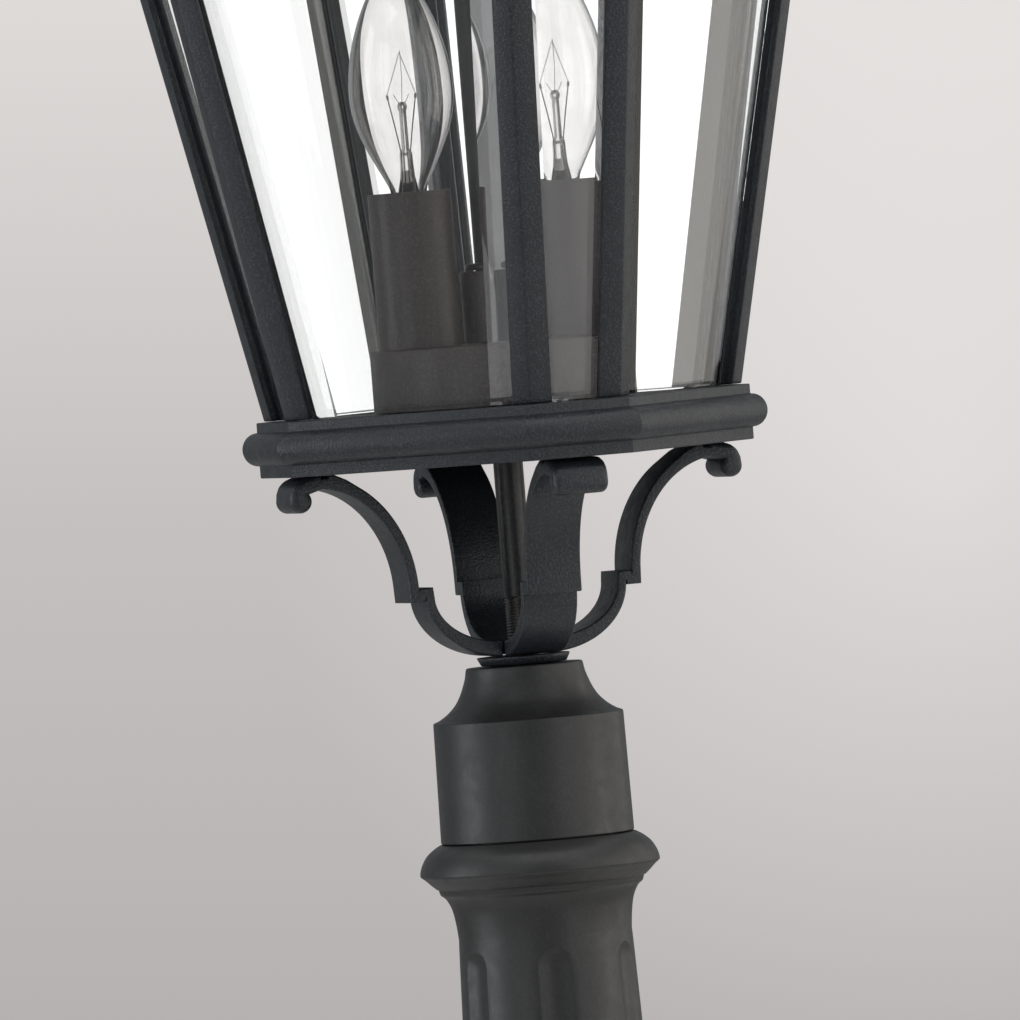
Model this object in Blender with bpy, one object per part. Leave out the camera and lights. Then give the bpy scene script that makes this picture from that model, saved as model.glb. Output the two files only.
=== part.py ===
"""Post-top lamp: a bevelled-glass lantern on a fluted post.

Metres, +Z up. The origin is the centre of the base's underside. Lantern heights are given
from the top of its base ring, which stands RING_TOP above the ground.
"""

import math

import bmesh
import bpy
from mathutils import Matrix, Vector

# ---- driving dimensions ------------------------------------------------------------------

GAP = 0.0003                    # play between neighbouring solids
RING_TOP = 1.700                # ground to the top of the lantern's base ring

# base ring: a square plan with chamfered corners
RING_HALF = 0.0705              # half across the flats of its fillets
RING_LEG = 0.0256               # leg of the corner chamfers
FILLET_DEPTH = 0.00335          # upper fillet
BEAD_DEPTH = 0.0112             # half-round bead
BEAD_PROUD = 0.0050
RING_DEPTH = 0.0187
RING_WALL = 0.0135              # ring's outside to the edge of the floor rebate
LEDGE_WALL = 0.0205             # ring's outside to its opening, under the floor
FLOOR_THICK = 0.0020

# cage
CAGE_HEIGHT = 0.250
CAGE_HALF = 0.0674              # half across flats at its foot
CAGE_LEG = 0.0224
CAGE_HALF_RISE = 0.173          # growth of the half width per metre of height
CAGE_LEG_RISE = 0.052
CAP_WIDE = 0.0068               # post strip on the wide side of its corner
CAP_NARROW = 0.0078             # post strip on the narrow side
CAP_THICK = 0.0025
WEB_THICK = 0.0030
BACK_LEAF = (0.0082, 0.0097)    # front and back of the leaves behind the glass, from the outside
BACK_REACH = 0.0062             # post corner to a leaf's edge
GLASS_THICK = 0.0050
WIDE_BEVEL = (0.0110, 0.0022)   # width, and thickness left at the pane's edge
NARROW_BEVEL = (0.0045, 0.0035)
GLASS_SIDE = 0.0052             # post corner to the pane's edge

# head
HEAD_DEPTH = 0.0120
HEAD_PROUD = 0.0020
HEAD_WALL = 0.0160
ROOF_BASE = CAGE_HEIGHT + HEAD_DEPTH + GAP
ROOF_HALF = 0.126
ROOF_RISE = 0.090
ROOF_TOP_HALF = 0.034
ROOF_SHEET = 0.0025
LEG_RATIO = 0.325               # chamfer leg over half width, in the head and the roof

# strap brackets
STRAP_WIDTH = 0.0192
STRAP_END = 0.0100              # inner end of each strap, from the lamp's axis
SCREW_PLACE = 0.0650            # bracket screws, from the axis

# hub and fitter
HUB_TOP = -0.0848
HUB_APOTHEM = 0.0146
HUB_THICK = 0.0030
FITTER_TOP = -0.0881
COLLAR_TOP = -0.1061
COLLAR_FOOT = -0.1464
COLLAR_BORE = 0.0293
GRUB_HEIGHT = -0.1290
GRUB_TURNS = (math.radians(90), math.radians(180))

# centre tube and candle cluster
TUBE_R = 0.0050
TUBE_BORE = 0.0032
TUBE_FOOT = -0.1040
TUBE_TOP = 0.4200
TUBE_HOLE = 0.0054              # radius of the holes the tube passes through
DRUM_R = 0.0426
DRUM_TOP = 0.0210
STEM_R = 0.0104
STEM_TOP = 0.0454
SLEEVE_R = 0.0141
SLEEVE_TOP = 0.0737
SLEEVE_PLACE = 0.0263           # sleeve axes, from the lamp's axis
SLEEVE_ANGLE = math.radians(-135.0)
BULB_R = 0.0176
BULB_NECK_R = 0.0059
BULB_FOOT = 0.0664
BULB_WIDEST = 0.1070
BULB_TIP = 0.1545
BULB_WALL = 0.0006

# post
CAPITAL_TOP = COLLAR_FOOT - GAP
POST_TOP = 0.0292               # neck radius, just under the capital
POST_SWELL = 0.0090             # how much wider the shaft grows, far below the neck
POST_SWELL_LENGTH = 0.250
FLUTES = 6
FLUTE_TURN = math.radians(2.0)
FLUTE_HALF = math.radians(11.25)
FLUTE_DEPTH = 0.0016
FLUTE_TOP = -0.1832
SPIGOT_R = 0.0290               # top of the shaft, inside the collar
POST_BORE = 0.0240

# base
BASE_HALF = 0.080
BASE_LEG = 0.020
BASE_TOP = 0.233
BASE_WALL = 0.006
FLANGE_HALF = 0.125
FLANGE_LEG = 0.030
FLANGE_THICK = 0.013
ANCHOR_PLACE = 0.100
FOOT_SPIGOT_R = 0.0340
FOOT_SPIGOT_LENGTH = 0.038

# access door
DOOR_HALF = 0.046
DOOR_LOW = 0.068
DOOR_HIGH = 0.202
DOOR_THICK = 0.0036
OPENING_HALF = 0.041
OPENING_LOW = 0.073
OPENING_HIGH = 0.197
HINGE_X = -0.0515
HINGE_Y = -BASE_HALF - 0.0044
KNUCKLE_R = 0.0040
PIN_R = 0.0019
DOOR_KNUCKLE = (0.105, 0.165)    # from and to, above the ground
BASE_KNUCKLES = ((0.090, 0.1046), (0.1654, 0.180))
LOCK_X = 0.033
LOCK_Z = 0.135

# paint colours
BLACK = (0.021, 0.025, 0.029)
POST_BLACK = (0.032, 0.032, 0.033)
BROWN_BLACK = (0.052, 0.045, 0.042)


# ---- helpers -----------------------------------------------------------------------------

def clear_scene():
    for obj in list(bpy.data.objects):
        bpy.data.objects.remove(obj, do_unlink=True)


def material(name, color, roughness, metallic=0.0, transmission=0.0):
    mat = bpy.data.materials.new(name)
    mat.use_nodes = True
    shader = mat.node_tree.nodes["Principled BSDF"]
    shader.inputs["Base Color"].default_value = (*color, 1.0)
    shader.inputs["Roughness"].default_value = roughness
    shader.inputs["Metallic"].default_value = metallic
    shader.inputs["Transmission Weight"].default_value = transmission
    return mat


def empty(name, location):
    obj = bpy.data.objects.new(name, None)
    obj.location = location
    bpy.context.scene.collection.objects.link(obj)
    return obj


def add_mesh(name, mesh, mat, parent=None, location=(0, 0, 0), turn=0.0):
    obj = bpy.data.objects.new(name, mesh)
    if not mesh.materials:
        mesh.materials.append(mat)
    obj.location = location
    obj.rotation_euler.z = turn
    obj.parent = parent
    bpy.context.scene.collection.objects.link(obj)
    return obj


def mesh_from(bm, name):
    bmesh.ops.recalc_face_normals(bm, faces=bm.faces)
    mesh = bpy.data.meshes.new(name)
    bm.to_mesh(mesh)
    bm.free()
    mesh.shade_smooth()
    mesh.set_sharp_from_angle(angle=math.radians(35))
    return mesh


def arc(center, radii, start, end, steps):
    """Points along part of an ellipse; angles in degrees from +X towards +Z."""
    points = []
    for i in range(steps + 1):
        t = math.radians(start + (end - start) * i / steps)
        points.append((center[0] + radii[0] * math.cos(t), center[1] + radii[1] * math.sin(t)))
    return points


def turned(name, profile, segments):
    """Spin an (r, z) profile about Z. It is a loop, or it starts and ends on the axis."""
    bm = bmesh.new()
    verts = [bm.verts.new((r, 0.0, z)) for r, z in profile]
    edges = [bm.edges.new(pair) for pair in zip(verts, verts[1:])]
    if profile[0][0] > 0.0:
        edges.append(bm.edges.new((verts[-1], verts[0])))
    bmesh.ops.spin(bm, geom=verts + edges, axis=(0, 0, 1), cent=(0, 0, 0),
                   angle=2 * math.pi, steps=segments, use_merge=True)
    bmesh.ops.remove_doubles(bm, verts=bm.verts, dist=1e-6)
    return mesh_from(bm, name)


def stacked(name, rings, closed):
    """Skin a stack of rings. A closed stack joins its last ring to its first."""
    bm = bmesh.new()
    loops = [[bm.verts.new(point) for point in ring] for ring in rings]
    count = len(loops[0])
    pairs = list(zip(loops, loops[1:]))
    if closed:
        pairs.append((loops[-1], loops[0]))
    for low, high in pairs:
        for i in range(count):
            j = (i + 1) % count
            bm.faces.new((low[i], low[j], high[j], high[i]))
    if not closed:
        bm.faces.new(loops[0])
        bm.faces.new(loops[-1])
    return mesh_from(bm, name)


def prism(name, outline, depth):
    """Extrude an (x, z) outline along Y, centred on y = 0."""
    bm = bmesh.new()
    face = bm.faces.new([bm.verts.new((x, -depth / 2, z)) for x, z in outline])
    extruded = bmesh.ops.extrude_face_region(bm, geom=[face])["geom"]
    bmesh.ops.translate(bm, vec=(0, depth, 0),
                        verts=[v for v in extruded if isinstance(v, bmesh.types.BMVert)])
    return mesh_from(bm, name)


def block(name, low, high):
    bm = bmesh.new()
    bmesh.ops.create_cube(bm, size=1.0)
    size = Vector(high) - Vector(low)
    center = (Vector(high) + Vector(low)) / 2
    bmesh.ops.transform(bm, matrix=Matrix.Translation(center) @ Matrix.Diagonal((*size, 1.0)),
                        verts=bm.verts)
    return mesh_from(bm, name)


def chamfered_square(half, leg, z):
    """Eight corners of a square with cut corners, anticlockwise from the right-hand side."""
    c = half - leg
    plan = [(half, -c), (half, c), (c, half), (-c, half),
            (-half, c), (-half, -c), (-c, -half), (c, -half)]
    return [(x, y, z) for x, y in plan]


def offset_leg(leg, out):
    """Chamfer leg after every side has moved out by the same distance."""
    return leg + out * (2 - math.sqrt(2))


def circle(radius, z, count, turn=0.0):
    step = 2 * math.pi / count
    return [(radius * math.cos(turn + i * step), radius * math.sin(turn + i * step), z)
            for i in range(count)]


def hexagon(flats, z, count):
    """A hexagon with the given size across flats, on the same number of points as circle()."""
    ring = []
    for i in range(count):
        t = 2 * math.pi * i / count
        off = (t + math.pi / 6) % (math.pi / 3) - math.pi / 6
        r = flats / 2 / math.cos(off)
        ring.append((r * math.cos(t), r * math.sin(t), z))
    return ring


def boolean(obj, other, operation):
    mod = obj.modifiers.new(operation.title(), "BOOLEAN")
    mod.operation = operation
    mod.object = other


def cutter(name, mesh, parent=None, location=(0, 0, 0), turn=0.0):
    obj = add_mesh(name, mesh, None, parent, location, turn)
    obj.hide_render = True
    obj.display_type = "WIRE"
    return obj


def joined(name, meshes):
    """One mesh holding several, for a guide with separate shapes."""
    bm = bmesh.new()
    for mesh in meshes:
        bm.from_mesh(mesh)
    return mesh_from(bm, name)


def moved(mesh, matrix):
    mesh.transform(matrix)
    return mesh


# ---- lantern -----------------------------------------------------------------------------

def cage_plan(z):
    """Half width and chamfer leg of the cage's outside at height z above its ring."""
    return CAGE_HALF + CAGE_HALF_RISE * z, CAGE_LEG + CAGE_LEG_RISE * z


def screw_holes(name, low, high, radius):
    holes = []
    for i in range(4):
        angle = math.radians(45 + 90 * i)
        rod = stacked(name, [circle(radius, low, 16), circle(radius, high, 16)], False)
        place = Vector((SCREW_PLACE * math.cos(angle), SCREW_PLACE * math.sin(angle), 0))
        holes.append(moved(rod, Matrix.Translation(place)))
    return joined(name, holes)


def ring_shape(out, z):
    return chamfered_square(RING_HALF + out, offset_leg(RING_LEG, out), z)


def base_ring(lantern, mat, holes):
    bead_z = -FILLET_DEPTH - BEAD_DEPTH / 2
    rings = [ring_shape(0, 0)]
    for out, z in arc((0, bead_z), (BEAD_PROUD, BEAD_DEPTH / 2), 90, -90, 7):
        rings.append(ring_shape(out, z))
    rings.append(ring_shape(0, -RING_DEPTH))
    rings.append(ring_shape(-LEDGE_WALL, -RING_DEPTH))
    rings.append(ring_shape(-LEDGE_WALL, -FLOOR_THICK - 2 * GAP))
    rings.append(ring_shape(-RING_WALL, -FLOOR_THICK - 2 * GAP))
    rings.append(ring_shape(-RING_WALL, 0))
    obj = add_mesh("base_ring", stacked("base_ring", rings, True), mat, lantern)
    boolean(obj, holes, "DIFFERENCE")


def floor_plate(lantern, mat, holes):
    low = -FLOOR_THICK - GAP
    inner = TUBE_HOLE / math.cos(math.pi / 8)
    edge = -RING_WALL - GAP
    rings = [ring_shape(edge, low), ring_shape(edge, -GAP)]
    rings.append(circle(inner, -GAP, 8, -math.pi / 8))
    rings.append(circle(inner, low, 8, -math.pi / 8))
    obj = add_mesh("floor_plate", stacked("floor_plate", rings, True), mat, lantern)
    boolean(obj, holes, "DIFFERENCE")


def post_section(corner, wide, narrow, z):
    """Cap strip folded round a cage corner, a web running in, and leaves behind the glass."""
    wide, narrow = Vector(wide), Vector(narrow)
    inward = (wide + narrow).normalized()
    side = Vector((-inward.y, inward.x))
    if side.dot(wide) < 0:
        side = -side
    into_wide = (inward - wide * inward.dot(wide)).normalized()
    into_narrow = (inward - narrow * inward.dot(narrow)).normalized()
    v = Vector(corner)
    half_web = WEB_THICK / 2
    sink = inward.dot(into_wide)

    def web_edge(depth, turn):
        reach = (depth + half_web * abs(side.dot(into_wide))) / sink
        return v + inward * reach + side * turn * half_web

    front, back = BACK_LEAF
    points = [v + wide * CAP_WIDE, v, v + narrow * CAP_NARROW]
    points.append(points[2] + into_narrow * CAP_THICK)
    points.append(web_edge(CAP_THICK, -1))
    points.append(web_edge(front, -1))
    points.append(v + narrow * BACK_REACH + into_narrow * front)
    points.append(v + narrow * BACK_REACH + into_narrow * back)
    points.append(v + inward * back / sink)
    points.append(v + wide * BACK_REACH + into_wide * back)
    points.append(v + wide * BACK_REACH + into_wide * front)
    points.append(web_edge(front, 1))
    points.append(web_edge(CAP_THICK, 1))
    points.append(points[0] + into_wide * CAP_THICK)
    return [(p.x, p.y, z) for p in points]


def cage_corner(index, z):
    """Corner of the cage with unit vectors along its wide and narrow sides."""
    half, leg = cage_plan(z)
    corners = [Vector(p[:2]) for p in chamfered_square(half, leg, 0)]
    here = corners[index]
    after = (corners[(index + 1) % 8] - here).normalized()
    before = (corners[index - 1] - here).normalized()
    if index % 2 == 0:
        return here, after, before
    return here, before, after


def cage_posts(lantern, mat):
    for index in range(8):
        rings = []
        for z in (GAP, CAGE_HEIGHT - GAP):
            corner, wide, narrow = cage_corner(index, z)
            rings.append(post_section(corner, wide, narrow, z))
        name = f"cage_post_{index + 1}"
        add_mesh(name, stacked(name, rings, False), mat, lantern)


def pane(name, angle, face, bevel, mat, lantern):
    """A pane bevelled at its two long sides.

    face(z) gives its side's distance from the axis and half width.
    """
    def ring(depth, inset):
        points = []
        for z in (2 * GAP, CAGE_HEIGHT - 2 * GAP):
            distance, half = face(z)
            width = half - GLASS_SIDE - inset
            points.append((distance - depth, -width, z))
            points.append((distance - depth, width, z))
        return [points[0], points[1], points[3], points[2]]

    front = CAP_THICK + GAP
    back = front + GLASS_THICK
    rings = [ring(front, bevel[0]), ring(back - bevel[1], 0), ring(back, 0)]
    add_mesh(name, stacked(name, rings, False), mat, lantern, turn=angle)


def panes(lantern, mat):
    def wide_face(z):
        half, leg = cage_plan(z)
        return half, half - leg

    def narrow_face(z):
        half, leg = cage_plan(z)
        return (2 * half - leg) / math.sqrt(2), leg / math.sqrt(2)

    for i in range(4):
        square, slant = math.radians(90 * i), math.radians(45 + 90 * i)
        pane(f"wide_pane_{i + 1}", square, wide_face, WIDE_BEVEL, mat, lantern)
        pane(f"narrow_pane_{i + 1}", slant, narrow_face, NARROW_BEVEL, mat, lantern)


def head_shape(half, z):
    return chamfered_square(half, half * LEG_RATIO, z)


def top_ring(lantern, mat):
    half = cage_plan(CAGE_HEIGHT)[0] + HEAD_PROUD
    low, high = CAGE_HEIGHT, CAGE_HEIGHT + HEAD_DEPTH
    rings = [head_shape(half, low), head_shape(half, high),
             head_shape(half - HEAD_WALL, high), head_shape(half - HEAD_WALL, low)]
    add_mesh("top_ring", stacked("top_ring", rings, True), mat, lantern)


def roof(lantern, mat):
    top = ROOF_BASE + 0.0037 + ROOF_RISE
    outer_half = ROOF_HALF - 0.008
    sweep = outer_half - ROOF_TOP_HALF
    outer = [(ROOF_HALF, ROOF_BASE - 0.0065), (ROOF_HALF + 0.0015, ROOF_BASE - 0.0035),
             (ROOF_HALF, ROOF_BASE - 0.0005), (ROOF_HALF - 0.0035, ROOF_BASE + 0.0015)]
    outer += arc((outer_half, top), (-sweep, -ROOF_RISE), 90, 0, 9)
    inner = arc((outer_half, top), (-sweep - ROOF_SHEET, -ROOF_RISE - ROOF_SHEET), 1.6, 80, 8)
    rings = [head_shape(half, z) for half, z in outer]
    rings.append(head_shape(0.012, top))
    rings.append(head_shape(0.012, top - ROOF_SHEET))
    rings += [head_shape(half, z) for half, z in inner]
    rings.append(head_shape(0.104, ROOF_BASE))
    rings.append(head_shape(0.117, ROOF_BASE))
    rings.append(head_shape(0.117, ROOF_BASE - 0.0065))
    add_mesh("roof", stacked("roof", rings, True), mat, lantern)
    return top


def roof_cap(lantern, mat, foot):
    profile = [(0.0056, foot), (0.030, foot), (0.0312, foot + 0.0025), (0.030, foot + 0.005)]
    profile += arc((0.030, foot + 0.026), (-0.017, -0.019), 90, 0, 4)
    profile += arc((0.0145, foot + 0.0305), (0.0035, 0.0035), -90, 90, 4)
    profile += [(0.0056, foot + 0.034)]
    add_mesh("roof_cap", turned("roof_cap", profile, 20), mat, lantern)
    return foot + 0.034


def finial(lantern, mat, foot):
    ball_z = foot + 0.030
    bore_end = TUBE_TOP + 0.004 - foot
    profile = [(0.0, bore_end), (TUBE_HOLE, bore_end), (TUBE_HOLE, 0.0)]
    profile += [(0.0105, 0.0), (0.0120, 0.0025), (0.0105, 0.005), (0.0085, 0.008), (0.0082, 0.0155)]
    profile += arc((0.0, ball_z - foot), (0.0155, 0.0155), -52, 60, 7)
    profile += [(0.0055, 0.0475), (0.0046, 0.053), (0.0034, 0.064), (0.0016, 0.074), (0.0, 0.0755)]
    add_mesh("finial", turned("finial", profile, 16), mat, lantern, (0, 0, foot))


def strap_outline():
    """Side view of a bracket, as (distance from the lamp's axis, height)."""
    outline = [(STRAP_END, -0.0845)]
    outline += arc((0.0081, -0.0627), (0.0273, -0.0218), 84, 0, 9)
    outline += [(0.0354, -0.0641), (0.0407, -0.0641)]
    outline += arc((0.0717, -0.0607), (-0.0308, 0.0374), 4, 84, 11)
    outline += arc((0.0761, -0.0271), (0.0039, 0.0039), 146, 362, 9)
    outline += [(0.0797, -0.0243), (0.0786, -0.0219), (0.0766, -0.0201), (0.0740, -0.0191)]
    outline += [(0.0650, -0.0190), (0.0598, -0.0210)]
    outline += arc((0.0717, -0.0607), (-0.0342, 0.0417), 62, 0, 10)
    outline += [(0.0375, -0.0594), (0.0326, -0.0594)]
    outline += arc((0.0081, -0.0627), (0.0242, -0.0167), 0, 84, 8)
    outline += [(STRAP_END, -0.0795)]
    return outline


def brackets(lantern, mat, holes):
    mesh = prism("scroll_bracket", strap_outline(), STRAP_WIDTH)
    for i in range(4):
        turn = math.radians(45 + 90 * i)
        obj = add_mesh(f"scroll_bracket_{i + 1}", mesh, mat, lantern, turn=turn)
        boolean(obj, holes, "DIFFERENCE")


def bracket_screws(lantern, mat):
    rings = [circle(0.0020, -0.0222, 12), circle(0.0020, 0, 12), circle(0.0038, 0, 12),
             circle(0.0036, 0.0012, 12), circle(0.0022, 0.0021, 12)]
    mesh = stacked("bracket_screw", rings, False)
    for i in range(4):
        angle = math.radians(45 + 90 * i)
        place = (SCREW_PLACE * math.cos(angle), SCREW_PLACE * math.sin(angle), 0)
        add_mesh(f"bracket_screw_{i + 1}", mesh, mat, lantern, place)


def hub(lantern, mat):
    outer = HUB_APOTHEM / math.cos(math.pi / 8)
    inner = TUBE_HOLE / math.cos(math.pi / 8)
    turn = math.pi / 8
    low = HUB_TOP - HUB_THICK
    rings = [circle(outer, low, 8, turn), circle(outer, HUB_TOP, 8, turn),
             circle(inner, HUB_TOP, 8, turn), circle(inner, low, 8, turn)]
    add_mesh("hub", stacked("hub", rings, True), mat, lantern)


def fitter_collar(lantern, mat, bores):
    web = FITTER_TOP - 0.008
    profile = [(TUBE_HOLE, FITTER_TOP), (0.0197, FITTER_TOP), (0.0200, -0.0903), (0.0209, -0.0945),
               (0.0223, -0.0975), (0.0247, -0.1009), (0.0280, -0.1041), (0.0320, COLLAR_TOP),
               (0.0326, COLLAR_FOOT), (COLLAR_BORE, COLLAR_FOOT), (COLLAR_BORE, -0.1095),
               (0.0140, -0.1060), (0.0140, web), (TUBE_HOLE, web)]
    profile.reverse()
    obj = add_mesh("fitter_collar", turned("fitter_collar", profile, 32), mat, lantern)
    boolean(obj, bores, "DIFFERENCE")


def grub_bores(lantern):
    meshes = []
    for turn in GRUB_TURNS:
        rod = stacked("bore", [circle(0.0033, 0.020, 16), circle(0.0033, 0.040, 16)], False)
        place = Matrix.Rotation(turn, 4, "Z") @ Matrix.Translation((0, 0, GRUB_HEIGHT))
        meshes.append(moved(rod, place @ Matrix.Rotation(math.pi / 2, 4, "Y")))
    return cutter("grub_bores", joined("grub_bores", meshes), lantern)


def grub_screws(lantern, mat):
    rings = [hexagon(0.0030, 0.0305, 12), hexagon(0.0030, 0.0330, 12), circle(0.0027, 0.0330, 12),
             circle(0.0030, 0.0325, 12), circle(0.0030, SPIGOT_R + 2 * GAP, 12)]
    for i, turn in enumerate(GRUB_TURNS):
        mesh = stacked("grub_screw", rings, False)
        moved(mesh, Matrix.Rotation(math.pi / 2, 4, "Y"))
        add_mesh(f"grub_screw_{i + 1}", mesh, mat, lantern, (0, 0, GRUB_HEIGHT), turn)


def nut(name, flats, thick, bore, location, mat, parent):
    rings = [circle(bore, 0, 24), hexagon(flats, 0, 24),
             hexagon(flats, thick, 24), circle(bore, thick, 24)]
    add_mesh(name, stacked(name, rings, True), mat, parent, location)


def center_tube(lantern, mat):
    profile = [(TUBE_BORE, TUBE_FOOT), (TUBE_R, TUBE_FOOT),
               (TUBE_R, TUBE_TOP), (TUBE_BORE, TUBE_TOP)]
    add_mesh("center_tube", turned("center_tube", profile, 16), mat, lantern)


def cluster(lantern, mat):
    wall = 0.0015
    drum = [(DRUM_R - wall, 0), (DRUM_R, 0), (DRUM_R, DRUM_TOP - 0.0006),
            (DRUM_R - 0.0006, DRUM_TOP), (TUBE_HOLE, DRUM_TOP), (TUBE_HOLE, DRUM_TOP - wall),
            (DRUM_R - wall, DRUM_TOP - wall)]
    add_mesh("cluster_drum", turned("cluster_drum", drum, 28), mat, lantern)
    foot = DRUM_TOP + GAP
    stem = [(TUBE_HOLE, foot), (STEM_R, foot), (STEM_R, STEM_TOP - 0.0004),
            (STEM_R - 0.0004, STEM_TOP), (TUBE_HOLE, STEM_TOP)]
    add_mesh("cluster_stem", turned("cluster_stem", stem, 20), mat, lantern)


def stem_nut(lantern, mat):
    foot = STEM_TOP + GAP
    profile = [(TUBE_HOLE, foot), (0.0078, foot), (0.0084, foot + 0.0007), (0.0084, foot + 0.0016),
               (0.0078, foot + 0.0023), (TUBE_HOLE, foot + 0.0023)]
    add_mesh("stem_nut", turned("stem_nut", profile, 24), mat, lantern)


def bulb_outline():
    """Outside of the candle bulb, from its neck to its tip."""
    points = [(BULB_NECK_R, BULB_FOOT), (BULB_NECK_R, 0.0740)]
    for i in range(1, 5):
        t = i / 4
        rise = math.sin(t * math.pi / 2) ** 1.12
        radius = BULB_NECK_R + (BULB_R - BULB_NECK_R) * rise
        points.append((radius, 0.0740 + (BULB_WIDEST - 0.0740) * t))
    for i in range(1, 7):
        t = i / 6
        points.append((BULB_R * (1 - t * t), BULB_WIDEST + (BULB_TIP - BULB_WIDEST) * t))
    return points


def candle(index, lantern, mats):
    angle = SLEEVE_ANGLE + math.pi * index
    x, y = SLEEVE_PLACE * math.cos(angle), SLEEVE_PLACE * math.sin(angle)
    foot = DRUM_TOP + GAP
    number = index + 1
    axis = empty(f"candle_axis_{number}", (x, y, 0))
    axis.parent = lantern

    bore = SLEEVE_R - 0.0012
    sleeve = [(bore, foot), (SLEEVE_R, foot), (SLEEVE_R, SLEEVE_TOP), (bore, SLEEVE_TOP)]
    add_mesh(f"candle_sleeve_{number}", turned("candle_sleeve", sleeve, 24), mats["brown"], axis)

    holder = [(0, 0.040), (0.0076, 0.040), (0.0076, 0.066),
              (0.0123, 0.066), (0.0123, foot), (0, foot)]
    add_mesh(f"lampholder_{number}", turned("lampholder", holder, 16), mats["plastic"], axis)

    cap = [(0, 0.0640), (0.0064, 0.0640), (0.0064, 0.0698), (0.0070, 0.0698), (0.0070, 0.0455),
           (0.0045, 0.0428), (0.0025, 0.0410), (0, 0.0410)]
    add_mesh(f"bulb_cap_{number}", turned("bulb_cap", cap, 16), mats["steel"], axis)

    outer = bulb_outline()
    inner = [(max(r - BULB_WALL, 0.0), z - BULB_WALL) for r, z in outer[2:]]
    inner = [(BULB_NECK_R - BULB_WALL, BULB_FOOT), (BULB_NECK_R - BULB_WALL, 0.0736)] + inner[:-2]
    inner.append((0.0, BULB_TIP - 0.0050))
    shell = outer[::-1] + inner
    add_mesh(f"bulb_glass_{number}", turned("bulb_glass", shell, 16), mats["glass"], axis)

    mount = [(0, BULB_FOOT), (0.0036, BULB_FOOT), (0.0032, 0.0740), (0.0022, 0.0830),
             (0.0020, 0.0875), (0.0013, 0.0885), (0.0013, 0.1020), (0.0016, 0.1028), (0, 0.1040)]
    add_mesh(f"filament_stem_{number}", turned("filament_stem", mount, 10), mats["glass"], axis)


# ---- post --------------------------------------------------------------------------------

def shaft_radius(z):
    """Shaft radius below the capital, at height z from the ring."""
    below = max(-0.178 - z, 0.0)
    return POST_TOP + POST_SWELL * (1 - math.exp(-below / POST_SWELL_LENGTH))


def flute_cut(offset, radius, z, low, high):
    """Depth of a flute at an angle from its centre line; both its ends are round."""
    half = radius * FLUTE_HALF
    across = offset * radius / half
    along = max(z - (high - half), (low + half) - z, 0.0) / half
    return FLUTE_DEPTH * math.sqrt(max(1 - across * across - along * along, 0.0))


def shaft_ring(radius, z, fluted, low, high):
    offsets = [-1.0, -0.7, 0.0, 0.7, 1.0]
    ring = []
    for i in range(FLUTES):
        middle = FLUTE_TURN + 2 * math.pi * i / FLUTES
        for part in offsets:
            cut = flute_cut(part * FLUTE_HALF, radius, z, low, high) if fluted else 0.0
            angle = middle + part * FLUTE_HALF
            ring.append(((radius - cut) * math.cos(angle), (radius - cut) * math.sin(angle), z))
        angle = middle + math.pi / FLUTES
        ring.append((radius * math.cos(angle), radius * math.sin(angle), z))
    return ring


def shaft(lantern, mat):
    foot = BASE_TOP + GAP - RING_TOP
    low = foot + 0.085
    high = FLUTE_TOP
    spigot = foot - FOOT_SPIGOT_LENGTH
    plain = [(FOOT_SPIGOT_R, spigot), (FOOT_SPIGOT_R, foot), (0.072, foot), (0.0735, foot + 0.004),
             (0.072, foot + 0.008), (0.066, foot + 0.010)]
    plain += arc((0.066, foot + 0.034), (-0.018, -0.022), 85, 10, 3)
    plain += [(0.0475, foot + 0.036)]
    plain += arc((0.046, foot + 0.043), (0.0055, 0.0055), -60, 60, 3)
    plain += [(0.0415, foot + 0.052), (shaft_radius(foot + 0.066), foot + 0.066)]
    rings = [shaft_ring(r, z, False, low, high) for r, z in plain]

    half = shaft_radius(low) * FLUTE_HALF
    levels = [low, low + 0.15 * half, low + 0.5 * half, low + half]
    levels += [low + half + (high - low) * t for t in (0.3, 0.6, 0.82)]
    half = shaft_radius(high) * FLUTE_HALF
    levels += [high - half, high - 0.5 * half, high - 0.15 * half, high]
    rings += [shaft_ring(shaft_radius(z), z, True, low, high) for z in levels]

    crown = [(POST_TOP, -0.1780), (0.0297, -0.1740), (0.0305, -0.1695), (0.0321, -0.1655),
             (0.0333, -0.1642), (0.0342, -0.1630), (0.0348, -0.1618), (0.0381, -0.1590),
             (0.0405, -0.1565), (0.0397, -0.1534), (0.0376, -0.1500), (0.0352, -0.1480),
             (0.0329, CAPITAL_TOP), (SPIGOT_R, CAPITAL_TOP), (SPIGOT_R, -0.1115),
             (SPIGOT_R - 0.001, -0.1105), (POST_BORE, -0.1105), (POST_BORE, spigot)]
    rings += [shaft_ring(r, z, False, low, high) for r, z in crown]
    add_mesh("shaft", stacked("shaft", rings, True), mat, lantern)


# ---- base --------------------------------------------------------------------------------

def hinge_knuckles(radius, spans):
    parts = []
    for low, high in spans:
        rod = stacked("knuckle", [circle(radius, low, 16), circle(radius, high, 16)], False)
        parts.append(moved(rod, Matrix.Translation((HINGE_X, HINGE_Y, 0))))
    return parts


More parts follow.
